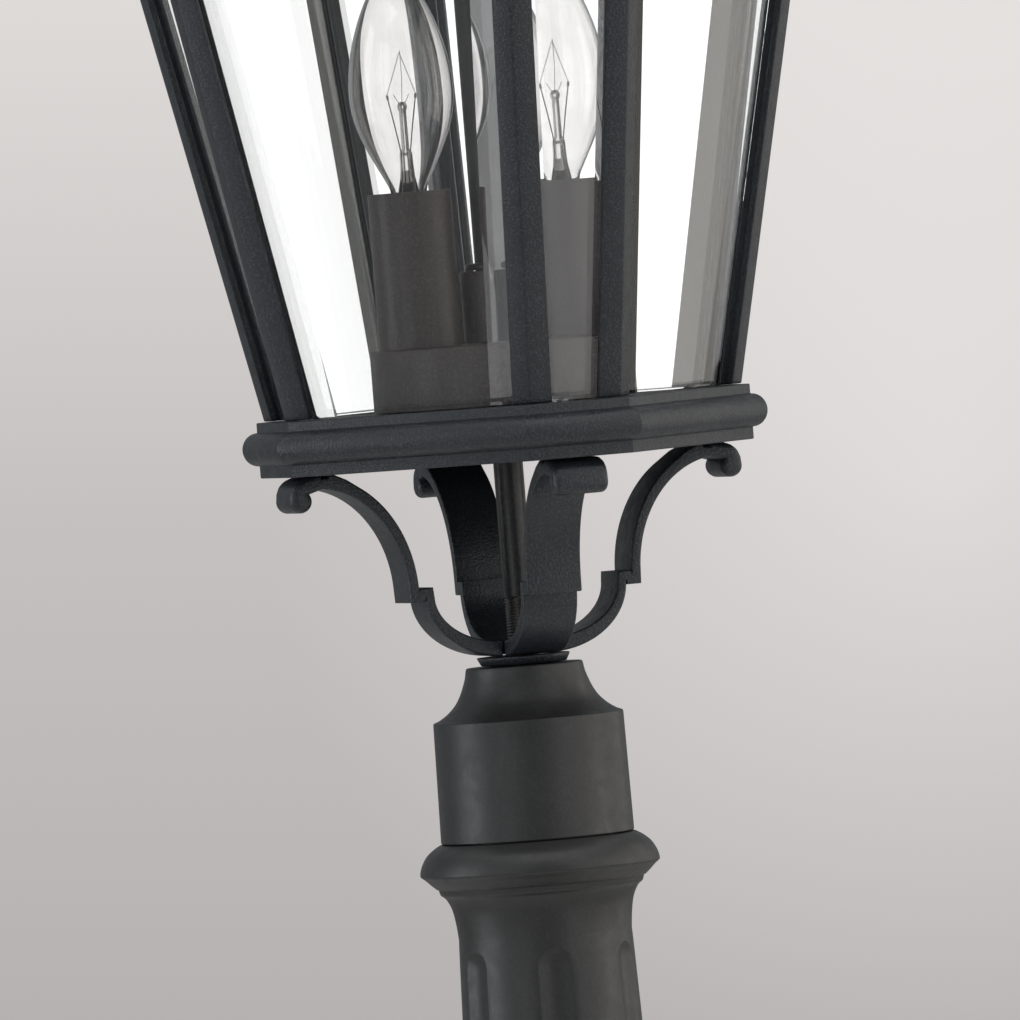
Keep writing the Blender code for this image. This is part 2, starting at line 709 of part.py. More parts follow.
def base_casting(mat):
    def shape(half, z):
        return chamfered_square(half, offset_leg(BASE_LEG, half - BASE_HALF), z)

    inside = BASE_HALF - BASE_WALL
    rings = [chamfered_square(FLANGE_HALF, FLANGE_LEG, 0),
             chamfered_square(FLANGE_HALF, FLANGE_LEG, 0.010),
             chamfered_square(FLANGE_HALF - 0.003, FLANGE_LEG - 0.0012, FLANGE_THICK)]
    profile = [(0.096, FLANGE_THICK), (0.096, 0.034), (0.0945, 0.037), (0.0895, 0.0385),
               (0.0845, 0.042), (0.0815, 0.047), (BASE_HALF, 0.054), (BASE_HALF, 0.212),
               (0.0825, 0.2145), (0.0865, 0.2175), (0.0875, 0.2185), (0.0875, 0.229),
               (0.0845, BASE_TOP)]
    rings += [shape(half, z) for half, z in profile]
    rings += [chamfered_square(0.020, 0.008, z) for z in (BASE_TOP, BASE_TOP - 0.012)]
    rings += [shape(inside, BASE_TOP - 0.012), shape(inside, 0.0)]
    obj = add_mesh("base_casting", stacked("base_casting", rings, True), mat)

    for i, (low, high) in enumerate(BASE_KNUCKLES):
        lug = hinge_knuckles(KNUCKLE_R, [(low, high)])[0]
        boolean(obj, cutter(f"lug_{i}", lug), "UNION")
        foot = block("lug_foot", (HINGE_X - 0.0038, HINGE_Y + 0.0005, low),
                     (HINGE_X + 0.0015, -BASE_HALF + 0.002, high))
        boolean(obj, cutter(f"lug_foot_{i}", foot), "UNION")

    opening = block("opening", (-OPENING_HALF, -BASE_HALF - 0.010, OPENING_LOW),
                    (OPENING_HALF, -BASE_HALF + 0.020, OPENING_HIGH))
    boolean(obj, cutter("door_opening", opening), "DIFFERENCE")
    reach = FOOT_SPIGOT_R + 0.0006
    hole = stacked("hole", [circle(reach, 0.200, 36), circle(reach, 0.240, 36)], False)
    boolean(obj, cutter("spigot_hole", hole), "DIFFERENCE")
    boolean(obj, cutter("pin_hole", hinge_knuckles(PIN_R + GAP, [(0.080, 0.190)])[0]), "DIFFERENCE")

    studs = []
    for sx in (-1, 1):
        for sy in (-1, 1):
            ends = [circle(0.0075, -0.010, 12), circle(0.0075, 0.030, 12)]
            place = Matrix.Translation((sx * ANCHOR_PLACE, sy * ANCHOR_PLACE, 0))
            studs.append(moved(stacked("stud_hole", ends, False), place))
    boolean(obj, cutter("stud_holes", joined("stud_holes", studs)), "DIFFERENCE")


def anchor_nuts(mat):
    count = 12
    rings = [circle(0.0063, 0.016, count), circle(0.0063, 0, count), circle(0.0150, 0, count),
             circle(0.0150, 0.0025, count), hexagon(0.0240, 0.0025, count),
             hexagon(0.0240, 0.0120, count), circle(0.0112, 0.0130, count)]
    rings += [circle(r, z, count) for r, z in arc((0, 0.0150), (0.0108, 0.0100), 0, 70, 4)]
    mesh = stacked("anchor_nut", rings, False)
    for i, (sx, sy) in enumerate(((1, 1), (-1, 1), (-1, -1), (1, -1))):
        place = (sx * ANCHOR_PLACE, sy * ANCHOR_PLACE, FLANGE_THICK + GAP)
        add_mesh(f"anchor_nut_{i + 1}", mesh, mat, None, place)


def access_door(hinge, mat):
    """Door plate with a locating rim behind it, hung on one long knuckle."""
    face = -BASE_HALF - 0.0004 - HINGE_Y
    left, right = -DOOR_HALF - HINGE_X, DOOR_HALF - HINGE_X

    plate = block("access_door", (left, face - DOOR_THICK, DOOR_LOW), (right, face, DOOR_HIGH))
    obj = add_mesh("access_door", plate, mat, hinge)
    rim_left = -OPENING_HALF + 0.001 - HINGE_X
    rim_right = OPENING_HALF - 0.001 - HINGE_X
    rim = block("rim", (rim_left, face - 0.001, OPENING_LOW + 0.001),
                (rim_right, face + 0.0045, OPENING_HIGH - 0.001))
    pocket = block("pocket", (rim_left + 0.003, face, OPENING_LOW + 0.004),
                   (rim_right - 0.003, face + 0.010, OPENING_HIGH - 0.004))
    boolean(obj, cutter("door_rim", rim, hinge), "UNION")
    boolean(obj, cutter("door_pocket", pocket, hinge), "DIFFERENCE")

    low, high = DOOR_KNUCKLE
    leaf = block("leaf", (0.0005, -0.0018, low), (left + 0.004, face - 0.0005, high))
    boolean(obj, cutter("door_leaf", leaf, hinge), "UNION")
    barrel = stacked("barrel", [circle(KNUCKLE_R, low, 16), circle(KNUCKLE_R, high, 16)], False)
    boolean(obj, cutter("door_barrel", barrel, hinge), "UNION")
    bore = stacked("bore", [circle(PIN_R + GAP, low - 0.01, 16),
                            circle(PIN_R + GAP, high + 0.01, 16)], False)
    boolean(obj, cutter("door_bore", bore, hinge), "DIFFERENCE")
    keyway = stacked("keyway", [circle(0.0062, -0.02, 24), circle(0.0062, 0.02, 24)], False)
    place = Matrix.Translation((LOCK_X - HINGE_X, face, LOCK_Z))
    moved(keyway, place @ Matrix.Rotation(math.pi / 2, 4, "X"))
    boolean(obj, cutter("lock_hole", keyway, hinge), "DIFFERENCE")


def hinge_pin(mat):
    low, high = BASE_KNUCKLES[0][0] - 0.002, BASE_KNUCKLES[1][1]
    rings = [circle(PIN_R, low, 12), circle(PIN_R, high + GAP, 12), circle(0.0036, high + GAP, 12),
             circle(0.0036, high + 0.0014, 12), circle(0.0022, high + 0.0024, 12)]
    add_mesh("hinge_pin", stacked("hinge_pin", rings, False), mat, None, (HINGE_X, HINGE_Y, 0))


def door_lock(mat):
    """Quarter-turn lock. Its axis is local Z, turned to point into the base along +Y."""
    front = -BASE_HALF - 0.0004 - DOOR_THICK
    body_length = 0.0150
    rings = [hexagon(0.0060, 0.0030, 24), hexagon(0.0060, -0.0022, 24), circle(0.0078, -0.0022, 24),
             circle(0.0085, -0.0014, 24), circle(0.0085, -GAP, 24), circle(0.0058, -GAP, 24),
             circle(0.0058, body_length, 24)]
    barrel = moved(stacked("lock", rings, False), Matrix.Rotation(-math.pi / 2, 4, "X"))
    cam = block("cam", (-0.0040, body_length - 0.0032, -0.0040),
                (0.0040, body_length - 0.0006, 0.0220))
    obj = add_mesh("door_lock", barrel, mat, None, (LOCK_X, front, LOCK_Z))
    boolean(obj, cutter("lock_cam", cam, None, (LOCK_X, front, LOCK_Z)), "UNION")


def terminal_box(mat):
    back = BASE_HALF - BASE_WALL - GAP
    low, high = (-0.030, back - 0.030, 0.080), (0.030, back, 0.170)
    obj = add_mesh("terminal_box", block("terminal_box", low, high), mat)
    bevel = obj.modifiers.new("Bevel", "BEVEL")
    bevel.width = 0.003
    bevel.segments = 2


# ---- assembly ----------------------------------------------------------------------------

def main():
    clear_scene()
    iron = material("lantern_black", BLACK, 0.55, 0.3)
    post = material("post_black", POST_BLACK, 0.50, 0.2)
    steel = material("steel", (0.45, 0.44, 0.42), 0.35, 1.0)
    brown = material("cluster_brown", BROWN_BLACK, 0.5, 0.2)
    glass = material("clear_glass", (0.95, 0.97, 0.97), 0.02, 0.0, 1.0)
    plastic = material("holder_plastic", (0.80, 0.78, 0.72), 0.45)
    grey = material("terminal_grey", (0.35, 0.36, 0.37), 0.5)

    lantern = empty("lantern_frame", (0, 0, RING_TOP))
    holes = cutter("screw_holes", screw_holes("screw_holes", -0.0226, 0.005, 0.0024), lantern)
    base_ring(lantern, iron, holes)
    floor_plate(lantern, brown, holes)
    cage_posts(lantern, iron)
    panes(lantern, glass)
    top_ring(lantern, iron)
    roof_peak = roof(lantern, iron)
    cap_peak = roof_cap(lantern, iron, roof_peak + GAP)
    finial(lantern, iron, cap_peak + GAP)
    brackets(lantern, iron, holes)
    bracket_screws(lantern, steel)
    hub(lantern, iron)
    fitter_collar(lantern, post, grub_bores(lantern))
    grub_screws(lantern, steel)
    nut("lock_nut", 0.0160, 0.0055, TUBE_HOLE, (0, 0, FITTER_TOP - 0.0138), steel, lantern)
    center_tube(lantern, steel)
    cluster(lantern, brown)
    stem_nut(lantern, steel)
    candle_mats = {"brown": brown, "plastic": plastic, "steel": steel, "glass": glass}
    for index in range(2):
        candle(index, lantern, candle_mats)

    shaft(lantern, post)
    nut("foot_nut", 0.0880, 0.0100, FOOT_SPIGOT_R + 0.0004, (0, 0, BASE_TOP - 0.0223), steel, None)
    base_casting(post)
    anchor_nuts(steel)
    hinge = empty("door_hinge", (HINGE_X, HINGE_Y, 0))
    access_door(hinge, post)
    hinge_pin(steel)
    door_lock(steel)
    terminal_box(grey)


main()
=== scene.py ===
"""Looks for the post-top lamp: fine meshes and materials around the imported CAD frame."""

import math

import bmesh
import bpy
from mathutils import Matrix, Vector


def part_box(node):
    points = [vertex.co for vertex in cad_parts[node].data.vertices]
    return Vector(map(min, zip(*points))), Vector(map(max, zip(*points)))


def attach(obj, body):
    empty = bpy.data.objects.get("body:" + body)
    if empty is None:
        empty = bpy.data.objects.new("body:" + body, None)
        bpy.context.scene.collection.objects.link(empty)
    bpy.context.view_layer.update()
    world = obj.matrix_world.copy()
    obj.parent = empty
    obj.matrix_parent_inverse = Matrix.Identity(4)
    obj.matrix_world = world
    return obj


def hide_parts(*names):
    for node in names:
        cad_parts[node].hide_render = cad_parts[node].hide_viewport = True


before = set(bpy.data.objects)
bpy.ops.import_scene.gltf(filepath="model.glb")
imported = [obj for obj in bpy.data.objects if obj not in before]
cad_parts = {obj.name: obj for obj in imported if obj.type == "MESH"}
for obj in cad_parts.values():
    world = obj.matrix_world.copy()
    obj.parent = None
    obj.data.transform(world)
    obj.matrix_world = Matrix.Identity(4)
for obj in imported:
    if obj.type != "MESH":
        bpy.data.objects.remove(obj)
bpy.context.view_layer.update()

# Most heights below are measured from the top of the ring that the lantern stands on.
RING_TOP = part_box("base_ring")[1][2]
AXIS = Vector((0, 0, 1))


# ---- camera and lights -------------------------------------------------------------------

CAMERA_AZIMUTH = math.radians(27.45)
CAMERA_ELEVATION = math.radians(1.17)
CAMERA_ROLL = math.radians(-4.55)
CAMERA_DISTANCE = 5.676
CAMERA_AIM = (-0.00058, RING_TOP - 0.03597)     # sideways from the lamp's axis, height
LENS = 595.5
SENSOR = 36.0


def direction(azimuth, elevation):
    """Unit vector from the lamp towards a viewer; azimuth 0 looks along +Y."""
    flat = math.cos(elevation)
    return Vector((math.sin(azimuth) * flat, -math.cos(azimuth) * flat, math.sin(elevation)))


def camera_axes():
    """Level right, then right, up and back of the slightly rolled camera."""
    back = direction(CAMERA_AZIMUTH, CAMERA_ELEVATION)
    right = Vector((math.cos(CAMERA_AZIMUTH), math.sin(CAMERA_AZIMUTH), 0))
    up = back.cross(right)
    rolled_right = right * math.cos(CAMERA_ROLL) + up * math.sin(CAMERA_ROLL)
    rolled_up = up * math.cos(CAMERA_ROLL) - right * math.sin(CAMERA_ROLL)
    return right, rolled_right, rolled_up, back


def make_camera():
    right, rolled_right, rolled_up, back = camera_axes()
    matrix = Matrix((rolled_right, rolled_up, back)).transposed().to_4x4()
    matrix.translation = right * CAMERA_AIM[0] + AXIS * CAMERA_AIM[1] + back * CAMERA_DISTANCE
    data = bpy.data.cameras.new("camera")
    data.lens = LENS
    data.sensor_width = SENSOR
    data.clip_end = 500
    camera = bpy.data.objects.new("camera", data)
    camera.matrix_world = matrix
    bpy.context.scene.collection.objects.link(camera)
    bpy.context.scene.camera = camera


HEAD_AIM, BASE_AIM = RING_TOP - 0.1, 0.20
FULL_BEAM, BASE_BEAM = 180, 50
SIDE_ELEVATION, SIDE_DISTANCE = 8, 2.6
BASE_ELEVATION, BASE_DISTANCE, BASE_SIZE, BASE_POWER = 20, 3.0, (1.8, 1.0), 5


def softbox(name, azimuth, elevation, distance, size, power, color, aim_z=HEAD_AIM, beam=FULL_BEAM):
    """Area light at an angle from the camera's own azimuth, aimed at the lamp's axis."""
    data = bpy.data.lights.new(name, "AREA")
    data.shape = "RECTANGLE"
    data.size, data.size_y = size
    data.energy = power
    data.color = color
    data.spread = math.radians(beam)
    towards = direction(CAMERA_AZIMUTH + math.radians(azimuth), math.radians(elevation))
    offset = towards * distance
    light = bpy.data.objects.new(name, data)
    light.location = offset + AXIS * aim_z
    light.rotation_euler = offset.to_track_quat("Z", "Y").to_euler()
    bpy.context.scene.collection.objects.link(light)


def make_lights():
    """Five boxes round the lantern, two overhead, and a pair low down for the base."""
    cool, warm, plain = (0.95, 0.975, 1.0), (1.0, 0.95, 0.87), (1, 1, 1)
    for name, azimuth, size, power, color in (
            ("left_box", -79, (1.5, 2.6), 22, cool),
            ("front_left_box", -33, (1.1, 2.4), 7, cool),
            ("front_right_box", 42, (1.4, 3.4), 13, plain),
            ("right_box", 84, (2.4, 2.6), 21, warm),
            ("rim_box", 126, (0.9, 2.4), 6.5, warm)):
        softbox(name, azimuth, SIDE_ELEVATION, SIDE_DISTANCE, size, power, color)
    softbox("top_box", 15, 72, 2.4, (2.0, 2.0), 8, plain)
    softbox("ceiling_box", 15, 85, 5.0, (8.0, 8.0), 190, plain)
    for name, azimuth, color in (("base_left_box", -84, cool), ("base_right_box", 88, warm)):
        softbox(name, azimuth, BASE_ELEVATION, BASE_DISTANCE, BASE_SIZE, BASE_POWER, color,
                BASE_AIM, BASE_BEAM)


# ---- shader helpers ----------------------------------------------------------------------

def new_material(name):
    mat = bpy.data.materials.new(name)
    mat.use_nodes = True
    tree = mat.node_tree
    return mat, tree, tree.nodes["Principled BSDF"]


def feed(tree, value, socket):
    """Link another node's socket to an input, or set the input to a plain value."""
    if hasattr(value, "links"):
        tree.links.new(value, socket)
    else:
        socket.default_value = value


def noise(tree, source, scale, detail, stretch=(1, 1, 1)):
    """Noise on object coordinates, optionally stretched; returns its factor socket."""
    mapping = tree.nodes.new("ShaderNodeMapping")
    mapping.inputs["Scale"].default_value = stretch
    tree.links.new(source, mapping.inputs["Vector"])
    node = tree.nodes.new("ShaderNodeTexNoise")
    node.inputs["Scale"].default_value = scale
    node.inputs["Detail"].default_value = detail
    tree.links.new(mapping.outputs[0], node.inputs["Vector"])
    return node.outputs["Fac"]


def ramp(tree, factor, low, high, color_low, color_high):
    """Colour that goes from one tone to another while the factor goes from low to high."""
    node = tree.nodes.new("ShaderNodeValToRGB")
    node.color_ramp.elements[0].position = low
    node.color_ramp.elements[1].position = high
    node.color_ramp.elements[0].color = (*color_low, 1)
    node.color_ramp.elements[1].color = (*color_high, 1)
    tree.links.new(factor, node.inputs["Fac"])
    return node.outputs["Color"]


def blend(tree, factor, first, second, mode="MIX"):
    node = tree.nodes.new("ShaderNodeMix")
    node.data_type = "RGBA"
    node.blend_type = mode
    feed(tree, factor, node.inputs["Factor"])
    tree.links.new(first, node.inputs["A"])
    tree.links.new(second, node.inputs["B"])
    return node.outputs["Result"]


def map_range(tree, factor, source, target):
    node = tree.nodes.new("ShaderNodeMapRange")
    node.inputs["From Min"].default_value, node.inputs["From Max"].default_value = source
    node.inputs["To Min"].default_value, node.inputs["To Max"].default_value = target
    tree.links.new(factor, node.inputs["Value"])
    return node.outputs["Result"]


def spread(tree, factor, low, high):
    """Map noise, which stays near its middle, onto a range."""
    return map_range(tree, factor, (0.3, 0.7), (low, high))


def compare(tree, operation, coords, vector):
    """Dot product or distance of the direction looked in and a fixed vector."""
    node = tree.nodes.new("ShaderNodeVectorMath")
    node.operation = operation
    node.inputs[1].default_value = vector
    tree.links.new(coords, node.inputs[0])
    return node.outputs["Value"]


def calculate(tree, operation, first, second):
    node = tree.nodes.new("ShaderNodeMath")
    node.operation = operation
    feed(tree, first, node.inputs[0])
    feed(tree, second, node.inputs[1])
    return node.outputs[0]


def background(tree, color, strength=1.0):
    node = tree.nodes.new("ShaderNodeBackground")
    feed(tree, color, node.inputs["Color"])
    node.inputs["Strength"].default_value = strength
    return node.outputs[0]


def mix_shader(tree, factor, first, second):
    node = tree.nodes.new("ShaderNodeMixShader")
    for value, socket in zip((factor, first, second), node.inputs):
        tree.links.new(value, socket)
    return node.outputs[0]


def bump(tree, shader, height, strength, distance):
    node = tree.nodes.new("ShaderNodeBump")
    node.inputs["Strength"].default_value = strength
    node.inputs["Distance"].default_value = distance
    tree.links.new(height, node.inputs["Height"])
    tree.links.new(node.outputs["Normal"], shader.inputs["Normal"])


def object_coords(tree):
    return tree.nodes.new("ShaderNodeTexCoord").outputs["Object"]


# ---- world and floor ---------------------------------------------------------------------

BACKDROP_HALF = 0.0302                  # sine of the angle from mid-height to the picture's edge
BACKDROP_LOW = (0.465, 0.443, 0.438)
BACKDROP_MIDDLE = (0.560, 0.533, 0.525)
BACKDROP_HIGH = (0.735, 0.703, 0.690)
GLOW_PLACE = (0.0255, 0.0018)           # right of the middle, and above it
GLOW_REACH = 0.040
GLOW_AMOUNT = 0.17
CARD_ROUND = (0.965, 0.988)             # cosines of the angle to straight ahead
CARD_GREY, CARD_WHITE = (0.46, 0.445, 0.435), (1.30, 1.29, 1.285)
CARD_END = (-0.130, -0.100)             # sines of the angle to the left
CARD_END_TONE = 0.09
AMBIENT_COLOR, AMBIENT_STRENGTH = (0.92, 0.96, 1, 1), 0.26
FLOOR_RADIUS = 14.0


def backdrop(tree, coords, right, up, back):
    """What the camera sees behind the lamp: warm grey, paler higher up, a glow at the right."""
    rise = map_range(tree, compare(tree, "DOT_PRODUCT", coords, up),
                     (-BACKDROP_HALF, BACKDROP_HALF), (0.0, 1.0))
    tone = ramp(tree, rise, 0.0, 1.0, BACKDROP_LOW, BACKDROP_HIGH)
    middle = tone.node.color_ramp.elements.new(0.5)
    middle.color = (*BACKDROP_MIDDLE, 1)
    glow_center = right * GLOW_PLACE[0] + up * GLOW_PLACE[1] - back
    glow = map_range(tree, compare(tree, "DISTANCE", coords, glow_center),
                     (0.0, GLOW_REACH), (GLOW_AMOUNT, 0.0))
    return background(tree, blend(tree, 1.0, tone, glow, "ADD"))


def white_card(tree, coords, right, back):
    """What the glass looks through to: a white card straight ahead, which ends on the left."""
    ahead = compare(tree, "DOT_PRODUCT", coords, -back)
    card = ramp(tree, ahead, *CARD_ROUND, CARD_GREY, CARD_WHITE)
    sideways = compare(tree, "DOT_PRODUCT", coords, right)
    end = map_range(tree, sideways, CARD_END, (CARD_END_TONE, 1.0))
    return background(tree, blend(tree, 1.0, card, end, "MULTIPLY"))


def only_through_glass(tree, path):
    """One for a ray that has passed through glass and met no other surface before."""
    result = path.outputs["Is Transmission Ray"]
    for depth in ("Diffuse Depth", "Glossy Depth"):
        none = calculate(tree, "LESS_THAN", path.outputs[depth], 0.5)
        result = calculate(tree, "MULTIPLY", result, none)
    return result


def make_world():
    """The camera sees a backdrop, glass looks through to a card, and all else meets dim light."""
    world = bpy.data.worlds.new("studio")
    bpy.context.scene.world = world
    bpy.context.scene.view_settings.view_transform = "Standard"
    world.use_nodes = True
    tree = world.node_tree
    tree.nodes.clear()
    coords = tree.nodes.new("ShaderNodeTexCoord").outputs["Generated"]
    path = tree.nodes.new("ShaderNodeLightPath")
    _, right, up, back = camera_axes()
    ambient = background(tree, AMBIENT_COLOR, AMBIENT_STRENGTH)
    through = mix_shader(tree, only_through_glass(tree, path), ambient,
                         white_card(tree, coords, right, back))
    seen = mix_shader(tree, path.outputs["Is Camera Ray"], through,
                      backdrop(tree, coords, right, up, back))
    out = tree.nodes.new("ShaderNodeOutputWorld")
    tree.links.new(seen, out.inputs["Surface"])


def make_floor():
    data = bpy.data.meshes.new("floor")
    bm = bmesh.new()
    bmesh.ops.create_circle(bm, cap_ends=True, radius=FLOOR_RADIUS, segments=128)
    bm.to_mesh(data)
    bm.free()
    mat, tree, shader = new_material("floor_paint")
    mottle = noise(tree, object_coords(tree), scale=3, detail=5)
    paint = ramp(tree, mottle, 0.3, 0.7, (0.60, 0.585, 0.575), (0.63, 0.615, 0.605))
    tree.links.new(paint, shader.inputs["Base Color"])
    shader.inputs["Roughness"].default_value = 0.75
    floor = add("floor", data, mat)


# ---- materials ---------------------------------------------------------------------------

DUST_REACH, DUST_AMOUNT = 0.004, 0.2
DUST_PALENESS = 2.2                     # times the paint's lighter tone
SHADOW_TINT = (0.93, 0.94, 0.94, 1)


def crevice_dust(tree, color, dust):
    """Settle a little dust into corners."""
    shade = tree.nodes.new("ShaderNodeAmbientOcclusion")
    shade.inputs["Distance"].default_value = DUST_REACH
    shade.samples = 4
    corner = map_range(tree, shade.outputs["AO"], (0.2, 0.8), (DUST_AMOUNT, 0.0))
    tint = ramp(tree, shade.outputs["AO"], 0.0, 1.0, dust, dust)
    return blend(tree, corner, color, tint)


def painted_metal(name, base, light, grain, grain_depth, rough, painted_glint, painted_glint_amount):
    """Powder coat or paint: mottled tone, fine grain in the surface, and painted glints as pale
    flecks on the grain.
    """
    mat, tree, shader = new_material(name)
    coords = object_coords(tree)
    mottle = noise(tree, coords, scale=38, detail=4)
    wear = noise(tree, coords, scale=260, detail=3)
    fine = noise(tree, coords, scale=grain, detail=1.5)
    tone = ramp(tree, mottle, 0.30, 0.72, base, light)
    # Painted glints: pale flecks on the high points of the grain stand in for the glitter of
    # highlights on it.
    painted_glints = ramp(tree, fine, 0.50, 0.70, (0, 0, 0), painted_glint)
    tone_and_glints = blend(tree, painted_glint_amount, tone, painted_glints, "ADD")
    dust = [c * DUST_PALENESS for c in light]
    tree.links.new(crevice_dust(tree, tone_and_glints, dust), shader.inputs["Base Color"])
    tree.links.new(spread(tree, wear, rough - 0.05, rough + 0.07), shader.inputs["Roughness"])
    bump(tree, shader, fine, strength=0.6, distance=grain_depth)
    return mat


def bare_metal(name, base, light, rough, stretch=(1, 1, 1)):
    """Drawn or plated metal with streaks and a few dull stains."""
    mat, tree, shader = new_material(name)
    coords = object_coords(tree)
    streaks = noise(tree, coords, scale=220, detail=4, stretch=stretch)
    stains = noise(tree, coords, scale=60, detail=3)
    color = ramp(tree, streaks, 0.3, 0.7, base, light)
    dull = ramp(tree, stains, 0.35, 0.75, (0.62, 0.61, 0.60), (1, 1, 1))
    tree.links.new(blend(tree, 1.0, color, dull, "MULTIPLY"), shader.inputs["Base Color"])
    tree.links.new(spread(tree, stains, rough - 0.06, rough + 0.12), shader.inputs["Roughness"])
    shader.inputs["Metallic"].default_value = 1.0
    bump(tree, shader, streaks, strength=0.35, distance=0.00005)
    return mat


def plastic(name, base, light, rough):
    mat, tree, shader = new_material(name)
    coords = object_coords(tree)
    mottle = noise(tree, coords, scale=45, detail=3)
    wear = noise(tree, coords, scale=180, detail=2)
    grain = noise(tree, coords, scale=1500, detail=2)
    tone = ramp(tree, mottle, 0.3, 0.7, base, light)
    tree.links.new(tone, shader.inputs["Base Color"])
    tree.links.new(spread(tree, wear, rough - 0.05, rough + 0.05), shader.inputs["Roughness"])
    bump(tree, shader, grain, strength=0.25, distance=0.00004)
    return mat


def clear_glass(name, tint, clean, ior, dust_scale):
    """Polished glass that lets the studio lights shine through to what is inside."""
    mat, tree, shader = new_material(name)
    coords = object_coords(tree)
    dust = noise(tree, coords, scale=dust_scale, detail=3)
    waves = noise(tree, coords, scale=9, detail=1)
    tone = ramp(tree, dust, 0.35, 0.75, tint, clean)
    tree.links.new(tone, shader.inputs["Base Color"])
    shader.inputs["Roughness"].default_value = 0.0
    shader.inputs["Transmission Weight"].default_value = 1.0
    shader.inputs["IOR"].default_value = ior
    bump(tree, shader, waves, strength=0.05, distance=0.0003)
    clear = tree.nodes.new("ShaderNodeBsdfTransparent")
    clear.inputs["Color"].default_value = SHADOW_TINT
    path = tree.nodes.new("ShaderNodeLightPath")
    mix = mix_shader(tree, path.outputs["Is Shadow Ray"], shader.outputs[0], clear.outputs[0])
    tree.links.new(mix, tree.nodes["Material Output"].inputs["Surface"])
    return mat


def make_materials():
    return {
        "lantern": painted_metal("lantern_coat", (0.0088, 0.0118, 0.0148), (0.0132, 0.0172, 0.0212),
                                 grain=1350, grain_depth=0.00040, rough=0.38,
                                 painted_glint=(0.060, 0.068, 0.078), painted_glint_amount=0.38),
        "post": painted_metal("post_coat", (0.0165, 0.0165, 0.0165), (0.0220, 0.0220, 0.0218),
                              grain=900, grain_depth=0.00008, rough=0.42,
                              painted_glint=(0.05, 0.05, 0.05), painted_glint_amount=0.12),
        "cluster": painted_metal("cluster_coat", (0.0310, 0.0232, 0.0220), (0.0400, 0.0308, 0.0293),
                                 grain=1150, grain_depth=0.00014, rough=0.42,
                                 painted_glint=(0.12, 0.105, 0.10), painted_glint_amount=0.35),
        "tube": painted_metal("tube_coat", (0.0150, 0.0140, 0.0140), (0.0210, 0.0195, 0.0190),
                              grain=1100, grain_depth=0.00012, rough=0.36,
                              painted_glint=(0.08, 0.08, 0.08), painted_glint_amount=0.20),
        "steel": bare_metal("zinc_steel", (0.24, 0.235, 0.23), (0.36, 0.35, 0.34),
                            rough=0.38, stretch=(1, 1, 0.15)),
        "brass": bare_metal("cap_metal", (0.58, 0.50, 0.33), (0.72, 0.64, 0.45),
                            rough=0.30, stretch=(1, 1, 0.2)),
        "pane": clear_glass("pane_glass", (0.975, 0.985, 0.98), (0.985, 0.99, 0.99),
                            ior=1.50, dust_scale=22),
        "bulb": clear_glass("lamp_glass", (0.885, 0.872, 0.870), (0.93, 0.922, 0.92),
                            ior=1.47, dust_scale=70),
        "holder": plastic("holder_plastic", (0.74, 0.71, 0.62), (0.80, 0.77, 0.69), rough=0.42),
        "terminal": plastic("terminal_plastic", (0.27, 0.28, 0.29), (0.33, 0.34, 0.35), rough=0.5),
        "wire": bare_metal("lead_wire", (0.16, 0.15, 0.14), (0.24, 0.22, 0.20), rough=0.3),
        "tungsten": bare_metal("filament_metal", (0.06, 0.06, 0.06), (0.10, 0.10, 0.10),
                               rough=0.4),
    }


# ---- mesh helpers ------------------------------------------------------------------------

def arc(center, radii, start, end, steps):
    """Points along part of an ellipse; angles in degrees. A negative radius mirrors it."""
    points = []
    for i in range(steps + 1):
        t = math.radians(start + (end - start) * i / steps)
        points.append((center[0] + radii[0] * math.cos(t), center[1] + radii[1] * math.sin(t)))
    return points


def smooth(points, steps):
    """A soft curve through a run of points."""
    points = [Vector(p) for p in points]
    ends = [points[0] * 2 - points[1]] + points + [points[-1] * 2 - points[-2]]
    result = []
    for a, b, c, d in zip(ends, ends[1:], ends[2:], ends[3:]):
        for k in range(steps):
            t = k / steps
            p = 0.5 * (2 * b + (c - a) * t + (2 * a - 5 * b + 4 * c - d) * t ** 2
                       + (3 * b - a - 3 * c + d) * t ** 3)
            result.append((p.x, p.y))
    return result + [tuple(points[-1])]


def mesh_from(bm, name, sharp=30):
    """Turn a bmesh into a smooth mesh with creases at edges sharper than an angle in degrees."""
    bmesh.ops.recalc_face_normals(bm, faces=bm.faces)
    mesh = bpy.data.meshes.new(name)
    bm.to_mesh(mesh)
    bm.free()
    mesh.shade_smooth()
    mesh.set_sharp_from_angle(angle=math.radians(sharp))
    return mesh


def add(name, mesh, mat, location=(0, 0, 0)):
    obj = bpy.data.objects.new(name, mesh)
    if not mesh.materials:
        mesh.materials.append(mat)
    obj.location = location
    bpy.context.scene.collection.objects.link(obj)
    return obj


def turned(name, profile, segments, sharp=30):
    """Spin an (r, z) profile about Z. It is a loop, or it starts and ends on the axis."""
    bm = bmesh.new()
    verts = [bm.verts.new((r, 0.0, z)) for r, z in profile]
    edges = [bm.edges.new(pair) for pair in zip(verts, verts[1:])]
    if profile[0][0] > 0.0:
        edges.append(bm.edges.new((verts[-1], verts[0])))
    bmesh.ops.spin(bm, geom=verts + edges, axis=(0, 0, 1), cent=(0, 0, 0),
                   angle=2 * math.pi, steps=segments, use_merge=True)
    bmesh.ops.remove_doubles(bm, verts=bm.verts, dist=1e-6)
    return mesh_from(bm, name, sharp)


